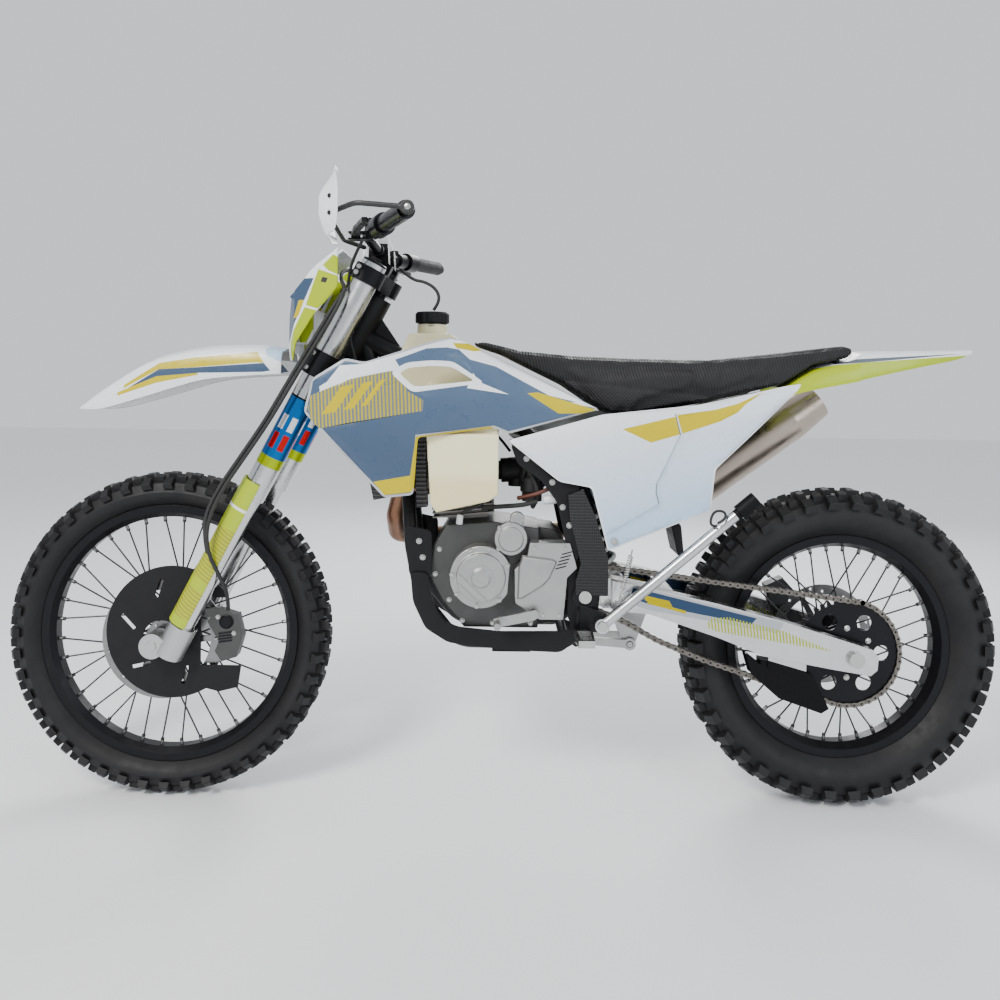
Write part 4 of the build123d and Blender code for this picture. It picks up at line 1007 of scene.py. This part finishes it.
def side_panels():
    outline = rounded(SIDE, 8, 3)
    inner = inset(SIDE, 3)
    seam = [(x - 1.0, z - 0.8) for x, z in SEAM] + [(x + 1.0, z + 0.8) for x, z in SEAM[::-1]]
    regions = [
        (inner, 1),
        ([(241, 813), (350, 840), (362, 804), (300, 786)], 2),
        ([(354, 843), (434, 855), (482, 868), (540, 893), (500, 868), (482, 850), (444, 831), (366, 805)], 2),
        # Painted shade: a thin dark line along the slope of the raised step.
        (seam, 3),
    ]
    finishes = [white_moulding, panel_white, yellow_ink, step_shade]
    silencer_side = [(7, 786), (114, 703), (180, 692), (215, 563), (224, 565), (352, 616), (345, 700),
                     (425, 800), (590, 906), (399, 864), (200, 842)]
    made = panel("left_side_panel", outline, side_depth, finishes, (), regions, 3.0, 12, -1)
    mount(made, "frame", "white_plastic", "side_panels")
    right = rounded(silencer_side, 8, 3)
    made = panel("right_side_panel", right, side_depth, finishes, (), [(inset(silencer_side, 3), 1),
                 regions[1]], 3.0, 12, 1)
    mount(made, "frame", "white_plastic", "side_panels")
    bolts("side_panel_bolts", [(228, -137, 582), (228, 137, 582)], "frame", radius=6, height=4)


FENDER_WALL = 3.0
CURL_START = 0.62
CURL_DROP = 0.10


def arch(name, stations, finish):
    """Mudguard lofted through (x, half width, crown, edge) stations; its sides curl down past CURL_START."""
    bm = bmesh.new()
    dense = []
    for (a, b) in zip(stations, stations[1:]):
        for t in (0, 0.2, 0.4, 0.6, 0.8):
            dense.append([p + (q - p) * t for p, q in zip(a, b)])
    dense.append(list(stations[-1]))
    for _ in range(3):
        dense = [dense[0]] + [[(p + 2 * q + r) / 4 for p, q, r in zip(a, b, c)]
                              for a, b, c in zip(dense, dense[1:], dense[2:])] + [dense[-1]]
    rings = []
    for x, half, crown, edge in dense:
        rise = crown - edge
        ring = []
        for k in range(-12, 13):
            u = k / 12
            drop = CURL_DROP * min(1.0, abs(u) / CURL_START) ** 2
            if abs(u) > CURL_START:
                drop += (1 - CURL_DROP) * ((abs(u) - CURL_START) / (1 - CURL_START)) ** 1.4
            ridge = 0.05 * (1 - smooth_step(abs(u), 0.18, 0.26))
            y = half * math.sin(abs(u) * math.pi / 2) ** 0.9 * (1 if u > 0 else -1)
            ring.append(bm.verts.new(Vector((x, y * 0.995, crown - rise * (drop - ridge) - 0.6)) * MM))
        rings.append(ring)
    for a, b in zip(rings, rings[1:]):
        for k in range(len(a) - 1):
            bm.faces.new((a[k], a[k + 1], b[k + 1], b[k]))
    bmesh.ops.recalc_face_normals(bm, faces=bm.faces)
    if sum(f.normal.z for f in bm.faces) < 0:
        bmesh.ops.reverse_faces(bm, faces=bm.faces)
    mesh = bpy.data.meshes.new(name)
    bm.to_mesh(mesh)
    bm.free()
    made = new_object(name, mesh, finish)
    modifier(made, "SOLIDIFY", thickness=FENDER_WALL * MM, offset=-1)
    bevel(made, 0.0008, 2, 50)
    return settle(made, 45)


def fenders():
    made = arch("front_fender_shell", [(-922, 34, 841, 836), (-867, 62, 881, 835), (-762, 78, 949, 866),
                                       (-641, 82, 975, 905), (-531, 84, 979, 914), (-475, 80, 971, 917)],
                fender_material("front_fender_film", True))
    mount(made, "steering", "white_plastic", "front_fender")
    rear = fender_material("rear_fender_film", False)
    made = arch("rear_fender_shell", [(590, 92, 905, 884), (651, 94, 948, 900), (744, 92, 968, 918),
                                      (752, 90, 982, 922), (871, 70, 985, 948), (980, 34, 989, 968),
                                      (1026, 10, 991, 984)], rear)
    mount(made, "frame", "white_plastic", "rear_fender")
    flap = moulded("mud_flap", "rear_fender", black_plastic, 2.5, 3, lambda low, high: high.x < 0.45)
    mount(flap, "frame", "black_plastic", "rear_fender")


def tank():
    made = moulded("tank_shell", "fuel_tank", tank_skin, 3.0, 10, lambda low, high: low.z < 0.95)
    mount(made, "frame", "tank_plastic", "fuel_tank")
    fuel_cap()


def fuel_cap():
    """Screw cap with finger grooves on the tank's neck."""
    centre_x, cap_radius, groove, top = -162, 37.5, 2.6, 1058
    bm = bmesh.new()
    grip, steps = [], 40
    for height, scale in ((1034, 0.96), (1036, 1.0), (1054, 1.0), (top, 0.9), (top + 0.4, 0.3)):
        ring = []
        for k in range(steps):
            angle = 2 * math.pi * k / steps
            radius = cap_radius * scale - (groove if k % 4 == 0 and 1035 < height < 1057 else 0)
            place = Vector((centre_x + radius * math.cos(angle), radius * math.sin(angle), min(height, top)))
            ring.append(bm.verts.new(place * MM))
        grip.append(ring)
    for a, b in zip(grip, grip[1:]):
        for k in range(steps):
            bm.faces.new((a[k], a[(k + 1) % steps], b[(k + 1) % steps], b[k]))
    bm.faces.new(grip[0][::-1])
    bm.faces.new(grip[-1])
    neck = [(0, 0.0325), (0.022, 0.0325), (0.024, 0.031), (0.0305, 0.031)]
    turned(bm, Vector((centre_x, 0, 1005)) * MM, (0, 0, 1), neck, steps)
    solid("fuel_cap", bm, black_plastic, "frame", "black_plastic", "fuel_tank")


SEAT_CORE = 0.004
SEAT_PRESSURE = 4
SEAT_FRAMES = 20
SEAT_SWELL = 0.006


def seat():
    """Padded saddle: cloth pressed out from a slightly smaller core, with a seam pressed into its flanks."""
    made = moulded("seat_pad", "seat", seat_skin, 5.0, 5)
    shape = [(v.co.copy(), v.normal.copy()) for v in made.data.vertices]
    for vertex, (place, normal) in zip(made.data.vertices, shape):
        vertex.co = place - normal * SEAT_CORE
    start = [v.co.copy() for v in made.data.vertices]
    cloth = modifier(made, "CLOTH")
    cloth.settings.use_pressure = True
    cloth.settings.uniform_pressure_force = SEAT_PRESSURE
    cloth.settings.effector_weights.gravity = 0
    for step in range(1, SEAT_FRAMES + 1):
        bpy.context.scene.frame_set(step)
    depsgraph = bpy.context.evaluated_depsgraph_get()
    swollen = made.evaluated_get(depsgraph).to_mesh()
    moved = [v.co.copy() for v in swollen.vertices]
    made.evaluated_get(depsgraph).to_mesh_clear()
    made.modifiers.clear()
    for vertex, a, b in zip(made.data.vertices, start, moved):
        shift = b - a
        if shift.length > SEAT_SWELL:
            shift = shift.normalized() * SEAT_SWELL
        vertex.co = a + shift
    bpy.context.scene.frame_set(1)
    seam_depth, seam_half = 1.6, 7
    for vertex in made.data.vertices:
        x, y, z = vertex.co / MM
        seam = 900 - 0.10 * (x - 250)
        if abs(y) > 40:
            depth = seam_depth * (1 - smooth_step(abs(z - seam), 0, seam_half))
            vertex.co.y -= math.copysign(depth * MM, y)
    modifier(made, "SUBSURF", levels=1, render_levels=1)
    settle(made, 180)
    mount(made, "frame", "seat_cover", "seat")


def nose():
    made = moulded("nose_shell", "headlight_mask", mask_material(), 2.2, 5)
    mount(made, "steering", "white_plastic", "headlight_mask")


# Seen from the side each shield narrows to a leaf: share of its CAD depth about LEAF_X at each height.
LEAF_X = -0.306
LEAF_WIDTH = [(1130, 0.30), (1205, 1.0), (1235, 1.0), (1289, 0.15)]


def guards():
    bar = Finish("guard_bar", (0.014, 0.014, 0.015), 0.5, grain=260, relief=0.8).done()
    spine = moulded("hand_guard_bars", "hand_guards", bar, 2.0, 2, lambda low, high: high.z < 1.23)
    mount(spine, "steering", "black_plastic", "hand_guards")
    shield = moulded("hand_guard_shields", "hand_guards", white_moulding, 2.0, 4,
                     lambda low, high: high.z > 1.25)
    for vertex in shield.data.vertices:
        width = interpolate(vertex.co.z / MM, LEAF_WIDTH)
        vertex.co.x = LEAF_X + (vertex.co.x - LEAF_X) * width
    for side, label in ((-1, "left"), (1, "right")):
        heads = [(-316, face_y(shield, -316, z, side), z) for z in (1230, 1200)]
        bolts(f"shield_bolts_{label}", heads, "steering", (0, side, 0), 3.5, 3, black_plastic,
              "black_plastic")
        bolts(f"guard_end_bolt_{label}", [(-176, side * 408.5, 1207)], "steering", (0, side, 0), 6, 3)
    mount(shield, "steering", "white_plastic", "hand_guards")


# ------------------------------------------------------------------ engine
CRANK = Vector((-45, 503))
COVER_FACE = -135.4
CASE_LEAST = 0.08


def engine():
    # Painted shade: the crankcase takes the darkened cast alloy, though it is the same alloy as its covers.
    case = moulded("crankcase_casting", "crankcase", shaded_cast, 2.5, 3,
                   lambda low, high: high.x - low.x > CASE_LEAST)
    mount(case, "frame", "cast_aluminium", "crankcase")
    for name, node, voxel in (("flywheel_casting", "flywheel_cover", 1.6),
                              ("sprocket_casting", "sprocket_cover", 1.6),
                              ("starter_casting", "starter_motor", 1.4)):
        mount(moulded(name, node, cast, voxel, 3), "frame", "cast_aluminium", node)
    shaft = moulded("output_shaft", "crankcase", steel, 1.0, 1,
                    lambda low, high: high.x - low.x < CASE_LEAST)
    mount(shaft, "frame", "steel", "crankcase")
    flywheel_rings()
    sprocket_cover_step()
    engine_bolts()


def flywheel_rings():
    """Turned rings, centre plug and two slanted ribs on the flywheel cover."""
    bm = bmesh.new()
    for radius, y, width in ((45, COVER_FACE, 1.2), (26, COVER_FACE - 0.2, 1.0)):
        inner, outer = (radius - width) * MM, (radius + width) * MM
        ring = revolve([(inner, (y + 1.2) * MM), (inner, y * MM), (outer, y * MM), (outer, (y + 1.2) * MM)],
                       (CRANK.x * MM, 0, CRANK.y * MM), 72)
        mesh = bpy.data.meshes.new("ring")
        ring.to_mesh(mesh)
        ring.free()
        bm.from_mesh(mesh)
        bpy.data.meshes.remove(mesh)
    plug = [(0, 0.0175), (0.0012, 0.017), (0.0012, 0.0088), (0.0004, 0.0084)]
    turned(bm, Vector((CRANK.x, COVER_FACE - 3.4, CRANK.y)) * MM, (0, -1, 0), plug, 6)
    for a, b in (((-49, 10), (16, -51)), ((-51, -10), (-3, -53))):
        a, b = CRANK + Vector(a) * 0.93, CRANK + Vector(b) * 0.93
        across = Vector((-(b - a).y, (b - a).x)).normalized() * 1.6
        foot = [a - across, b - across, b + across, a + across]
        top = [a - across * 0.4, b - across * 0.4, b + across * 0.4, a + across * 0.4]
        block(bm, at(foot, -134.5), at(top, -136.6))
    solid("flywheel_cover_rings", bm, cast, "frame", "cast_aluminium")


def sprocket_cover_step():
    """Raised field and slots on the sprocket cover."""
    step = bmesh.new()
    outline = [(40, 552), (102, 545), (113, 539), (98, 503), (84, 488), (42, 461), (29, 459), (31, 528)]
    block(step, at(outline, -129), at(inset(outline, 4.5), -137))
    raised = from_bmesh("sprocket_cover_step", step, cast)
    bevel(raised, 0.0018, 3, 15)
    mount(settle(raised, 60), "frame", "cast_aluminium")
    vents = bmesh.new()
    for k in range(5):
        x, z = 132 - 3.2 * k, 556 - 7.5 * k
        ring = [(x - 11, z - 4), (x + 11, z + 2), (x + 11, z + 4.6), (x - 11, z - 1.4)]
        block(vents, at(ring, -129), at(ring, -130.3))
    solid("sprocket_cover_vents", vents, black_plastic, "frame", "cast_aluminium")


def engine_bolts():
    around = [(CRANK.x + 60 * math.cos(a), -126, CRANK.y + 60 * math.sin(a))
              for a in (math.radians(d) for d in (25, 75, 112, 175, 215, 262, 310))]
    right = [(20 + 70 * math.cos(a), 112, 500 + 70 * math.sin(a))
             for a in (k * 2 * math.pi / 8 + 0.2 for k in range(8))]
    chaincase = [(x, -129, z) for x, z in ((64, 566), (128, 566), (118, 428), (84, 428))]
    case = [(x, -84, z) for x, z in ((-134, 552), (-142, 500), (-112, 446), (-84, 402), (-20, 398),
                                     (60, 398))]
    bolts("flywheel_cover_bolts", around, "frame", radius=4.2, height=5)
    bolts("sprocket_cover_bolts", chaincase, "frame", radius=4.2, height=5)
    bolts("starter_bolts", [(-8, -118, 604), (40, -106, 620), (-10, -118, 560)], "frame", radius=3.6,
          height=5)
    bolts("crankcase_bolts", case, "frame", radius=4.4, height=6)
    bolts("clutch_cover_bolts", right, "frame", (0, 1, 0), 4.2, 5)


# ------------------------------------------------------------------ running gear
PITCH = 15.875
CHAIN_Y = -72.0
FRONT_TEETH, REAR_TEETH = 13, 44
FRONT_SPROCKET, REAR_SPROCKET = Vector((119, 496)), Vector((732, 342.2))
LOWER_RUN = [(612, 258), (528, 290), (430, 322), (330, 362), (261, 400)]


def tooth_gaps(centre, teeth, numbers):
    """Pin places round a sprocket."""
    radius = PITCH / (2 * math.sin(math.pi / teeth))
    return [centre + Vector((math.cos(a), math.sin(a))) * radius
            for a in (2 * math.pi * k / teeth for k in numbers)]


def spread(line):
    """Pin places a pitch apart along a line, without its ends."""
    lengths = [0.0]
    for a, b in zip(line, line[1:]):
        lengths.append(lengths[-1] + (b - a).length)
    count = round(lengths[-1] / PITCH)
    out = []
    for k in range(1, count):
        target = lengths[-1] * k / count
        j = next(i for i, value in enumerate(lengths) if value >= target)
        t = (target - lengths[j - 1]) / (lengths[j] - lengths[j - 1])
        out.append(line[j - 1].lerp(line[j], t))
    return out


def chain():
    """Links and rollers whose pins lie in the tooth gaps round both sprockets."""
    rear_wrap = tooth_gaps(REAR_SPROCKET, REAR_TEETH, range(9, -15, -1))
    front_wrap = tooth_gaps(FRONT_SPROCKET, FRONT_TEETH, range(9, 2, -1))
    pins = rear_wrap + spread([rear_wrap[-1]] + [Vector(p) for p in LOWER_RUN] + [front_wrap[0]]) + front_wrap
    pins += spread([front_wrap[-1], rear_wrap[0]])
    plate_end, plate_waist, plate_half = 5.6, 3.9, 0.7
    bm = bmesh.new()
    for k, (a, b) in enumerate(zip(pins, pins[1:] + pins[:1])):
        along = (b - a).normalized()
        across = Vector((-along.y, along.x))
        middle = (a + b) / 2
        offset = 4.9 if k % 2 else 6.4
        for side in (-1, 1):
            outline = [middle + across * plate_waist, middle - across * plate_waist]
            for end, direction in ((a, -1), (b, 1)):
                for s in range(7):
                    angle = math.pi * (s / 6 - 0.5)
                    outward = along * math.cos(angle) + across * math.sin(angle)
                    outline.append(end + outward * direction * plate_end)
            outline.sort(key=lambda p: math.atan2(*(p - middle).yx))
            y = CHAIN_Y + side * offset
            block(bm, at(outline, y - side * plate_half), at(outline, y + side * plate_half))
        for start, length, radius, steps in ((7.1, 0.0142, 0.0022, 10), (4.1, 0.0082, 0.0050, 12)):
            foot = Vector((a.x, CHAIN_Y - start, a.y)) * MM
            turned(bm, foot, (0, 1, 0), [(0, radius), (length, radius)], steps)
    made = settle(from_bmesh("roller_chain", bm, chain_metal), 30)
    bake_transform(made)
    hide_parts("drive_chain")


def coil(name, start, end, radius, wire, turns, finish, steps=20):
    """Compression or tension spring as one swept wire, millimetres."""
    start, end = Vector(start), Vector(end)
    axis = (end - start).normalized()
    u = axis.orthogonal().normalized()
    v = axis.cross(u)
    count = int(turns * steps)
    bm = bmesh.new()
    rings = []
    for k in range(count + 1):
        t = k / count
        angle = 2 * math.pi * turns * t
        out = u * math.cos(angle) + v * math.sin(angle)
        centre = start.lerp(end, t) + out * radius
        rings.append([bm.verts.new((centre + (out * math.cos(b) + axis * math.sin(b)) * wire) * MM)
                      for b in (2 * math.pi * j / 10 for j in range(10))])
    for a, b in zip(rings, rings[1:]):
        for j in range(10):
            bm.faces.new((a[j], a[(j + 1) % 10], b[(j + 1) % 10], b[j]))
    bm.faces.new(rings[0][::-1])
    bm.faces.new(rings[-1])
    return settle(from_bmesh(name, bm, finish), 60)


def springs():
    """Shock spring, and the kickstand's return spring with its two hooks."""
    top, foot = Vector((160, 0, 690)), Vector((262, 0, 392))
    axis = (foot - top).normalized()
    white_steel = Finish("shock_spring_paint", (0.62, 0.62, 0.60), 0.35, mottle=0.04).done()
    a, b = top + axis * 64, foot - axis * 50
    made = coil("shock_coil", a, b, 29, 5.2, 8, white_steel)
    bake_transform(made)
    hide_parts("shock_spring")
    a, b = Vector((262, -156, 570)), Vector((236, -161, 466))
    made = coil("stand_coil", a.lerp(b, 0.12), a.lerp(b, 0.78), 4.6, 1.2, 15, steel, 14)
    mount(made, "kickstand", "spring_steel", "kickstand_spring")
    for label, line in (("upper", [(262, -156, 570), a.lerp(b, 0.05), a.lerp(b, 0.14)]),
                        ("lower", [a.lerp(b, 0.76), a.lerp(b, 0.88), b])):
        hook = tube_mesh(f"stand_coil_{label}_hook", line, 1.6, steel)
        mount(hook, "kickstand", "spring_steel")


FRONT_HOSE = [(-578, -84, 418), (-572, -104, 454), (-582, -132, 500), (-602, -148, 550), (-604, -152, 608),
              (-576, -150, 676), (-528, -147, 748), (-482, -144, 818), (-444, -145, 884), (-408, -146, 946),
              (-372, -148, 1006), (-344, -146, 1056), (-332, -126, 1094), (-350, -90, 1120),
              (-354, -44, 1140), (-348, 12, 1152), (-338, 68, 1153), (-322, 120, 1154), (-311, 164, 1160),
              (-311, 182, 1181)]
CLUTCH_CABLE = [(-286, -190, 1189), (-295, -168, 1181), (-310, -138, 1165), (-326, -106, 1142),
                (-334, -86, 1106), (-344, -66, 1056), (-336, -54, 1000), (-320, -47, 938), (-296, -45, 874),
                (-268, -47, 812), (-240, -50, 758), (-220, -60, 712), (-196, -68, 686), (-166, -70, 664)]
THROTTLE_CABLE = [(-265, 252, 1185), (-278, 236, 1170), (-298, 206, 1158), (-316, 166, 1150),
                  (-328, 122, 1138), (-340, 90, 1104), (-344, 70, 1056), (-336, 57, 1000), (-320, 50, 940),
                  (-292, 46, 884), (-248, 45, 846), (-190, 45, 834), (-126, 47, 832), (-66, 47, 820),
                  (-16, 40, 792), (14, 26, 752)]
VENT_HOSE = [(-160, 0, 1063), (-146, 0, 1082), (-152, 2, 1108), (-178, 4, 1126), (-210, 4, 1130),
             (-232, 2, 1152)]


def cables():
    hose = tube_mesh("front_brake_line", FRONT_HOSE, 4, matt_rubber)
    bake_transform(hose)
    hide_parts("front_brake_hose")
    for name, route, low in (("clutch_control_cable", CLUTCH_CABLE, (-0.29, 0, 0.86)),
                             ("throttle_control_cable", THROTTLE_CABLE, (-0.25, 0.045, 0.85))):
        cable = tube_mesh(name, route, 3.2, matt_rubber)
        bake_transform(cable)
        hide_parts("control_cables")
    vent = tube_mesh("tank_vent_hose", VENT_HOSE, 3.5, matt_rubber)
    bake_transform(vent)
    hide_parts("control_cables")


def leads():
    """Second line along the brake hose, and the leads between tank, cylinder and frame."""
    beside = [(x - 10, y + 2, z) for x, y, z in FRONT_HOSE[4:12]]
    line = tube_mesh("speedometer_line", [FRONT_HOSE[3]] + beside + [FRONT_HOSE[12]], 4, matt_rubber)
    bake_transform(line)
    rust_hose = Finish("red_brown_hose", (0.10, 0.028, 0.016), 0.5).done()
    for name, points, radius, finish in (
            ("breather_lead", [(-46, -78, 640), (14, -92, 646), (48, -94, 650), (70, -88, 656)], 5,
             matt_rubber),
            ("carburettor_hose", [(30, -70, 660), (60, -84, 668), (90, -88, 680), (112, -80, 690)], 4.5,
             rust_hose),
            ("loom", [(62, -60, 640), (74, -80, 664), (66, -84, 700), (40, -76, 736), (24, -60, 770)], 5,
             matt_rubber),
            ("spark_lead", [(-92, -56, 604), (-96, -84, 622), (-70, -90, 640), (-44, -76, 648)], 3.5,
             matt_rubber)):
        mount(tube_mesh(name, points, radius, finish), "frame", "rubber")
    plugs = bmesh.new()
    housing = [(0, 0.007), (0.004, 0.010), (0.026, 0.010), (0.030, 0.007)]
    turned(plugs, Vector((84, -86, 659)) * MM, (1, 0, 0.1), housing, 12)
    turned(plugs, Vector((-93, -86, 606)) * MM, (0.1, 0, 1), [(0, 0.007), (0.018, 0.007), (0.020, 0.005)], 12)
    solid("connectors", plugs, white_moulding, "frame", "white_plastic", sharp=40)


def carburettor():
    """Corrugated boot and float bowl that fill the space behind the cylinder."""
    boot = bmesh.new()
    ribs = []
    for k in range(6):
        ribs += [(0.002 + 0.012 * k, 0.027), (0.006 + 0.012 * k, 0.033), (0.010 + 0.012 * k, 0.033)]
    turned(boot, Vector((38, -14, 722)) * MM, (1, 0, -0.25), ribs + [(0.074, 0.027)], 32)
    solid("airbox_boot", boot, matt_rubber, "frame", "rubber")
    bowl = bmesh.new()
    steps = [(0, 0.026), (0.030, 0.026), (0.034, 0.022), (0.052, 0.022), (0.054, 0.010), (0.062, 0.010)]
    turned(bowl, Vector((62, -16, 700)) * MM, (0, 0, -1), steps, 28)
    solid("float_bowl", bowl, dark_cast, "frame", "cast_aluminium")


def caliper_details():
    """Piston cap, cooling fins and pins on the outer face of the front caliper."""
    caliper = NODES["front_caliper"]
    face = face_y(caliper, -582, 384)
    cap = bmesh.new()
    rim = [(0, 0.015), (0.003, 0.015), (0.004, 0.013), (0.002, 0.011)]
    turned(cap, Vector((-582, face + 1, 392)) * MM, (0, -1, 0), rim, 28)
    for k in range(4):
        z = 366 - 6 * k
        fin = [(-598, z), (-570, z + 4), (-570, z + 6.5), (-598, z + 2.5)]
        block(cap, at(fin, face + 1), at(fin, face - 2.5))
    solid("caliper_cap", cap, anodised, "fork_lower", "black_aluminium")
    bolts("caliper_pins", [(-600, face, 402), (-566, face, 368)], "fork_lower", radius=4, height=4)


def small_parts():
    strap = tube_mesh("stand_strap", [(430, -170, 628), (446, -172, 636), (450, -152, 650),
                                      (430, -134, 648), (418, -150, 618), (428, -168, 622)], 2.6, matt_rubber)
    mount(strap, "kickstand", "rubber")
    caps = bmesh.new()
    for side in (-1, 1):
        base = TUBE_BASE + UP * 0.915 + Vector((0, side * 0.1, 0))
        turned(caps, base - UP * 0.004, UP, [(0, 0.0265), (0.008, 0.0265), (0.010, 0.024)], 36)
        turned(caps, base, UP, [(0, 0.013), (0.014, 0.013)], 6)
    solid("fork_caps", caps, anodised, "steering", "black_aluminium")
    clamp_bolts = []
    for low, high in ((650, 705), (870, 905)):
        for t in (low + 12, high - 10):
            place = TUBE_BASE / MM + UP * t
            clamp_bolts.append(place + Vector((0, -134, 0)) + Vector((-0.89, 0, 0.4555)) * 20)
    bolts("clamp_bolts", clamp_bolts, "steering", radius=4, height=4)


def frame_plates():
    """Black guards and plates on the cradle, with their bolts."""
    skid = [(-193, 506), (-187, 445), (-160, 390), (-112, 361), (5, 349), (122, 347), (157, 374), (169, 402),
            (121, 391), (-4, 387), (-92, 394), (-125, 408), (-146, 446), (-157, 506)]
    mount_plate = [(-206, 604), (-150, 592), (-148, 498), (-196, 498)]
    spar = [(12, 778), (100, 719), (156, 695), (152, 662), (168, 580), (152, 536), (131, 566), (110, 660),
            (76, 704), (28, 736)]
    widths = {"skid_guard": [(-200, 101), (-96, 104), (146, 116)], "engine_plate": [(-200, 96), (0, 96)],
              "frame_spar": [(0, 112), (100, 119), (170, 125)]}
    for name, outline in (("skid_guard", skid), ("engine_plate", mount_plate), ("frame_spar", spar)):
        plan = widths[name]
        for side, label in ((-1, "left"), (1, "right")):
            made = panel(f"{name}_{label}", rounded(outline, 10, 3), lambda x, z: interpolate(x, plan),
                         [paint_black], thickness=4, grid=30, side=side)
            mount(made, "frame", "black_frame_paint")
    for side, label in ((-1, "left"), (1, "right")):
        bolts(f"frame_plate_bolts_{label}", [(122, side * 120, 649), (136, side * 122, 612),
                                             (100, side * 119, 700), (-176, side * 97, 571),
                                             (-168, side * 97, 537), (46, side * 115, 748)],
              "frame", (0, side, 0), 5, 5)
    tape = Finish("blue_tape", (0.10, 0.22, 0.38), 0.4).done()
    for k, x in enumerate((8, 24)):
        bm = bmesh.new()
        turned(bm, Vector((x, -91, 361)) * MM, (1, -0.04, 0), [(0, 0.0152), (0.013, 0.0152)], 28)
        solid(f"tape_{k}", bm, tape, "frame", "black_plastic")


def floor():
    mesh = bpy.data.meshes.new("floor")
    half = 14
    mesh.from_pydata([(x * half, y * half, 0) for x, y in ((-1, -1), (1, -1), (1, 1), (-1, 1))], [],
                     [(0, 1, 2, 3)])
    pale = Finish("pale_floor", (0.86, 0.87, 0.88), 0.75, mottle=0.01, relief=0.02).done()
    ground = new_object("floor", mesh, pale)


set_camera()
set_light()
dress_cad()
wheels()
shrouds()
side_panels()
fenders()
tank()
seat()
nose()
guards()
engine()
chain()
springs()
cables()
leads()
carburettor()
caliper_details()
small_parts()
frame_plates()
floor()

bpy.context.view_layer.update()
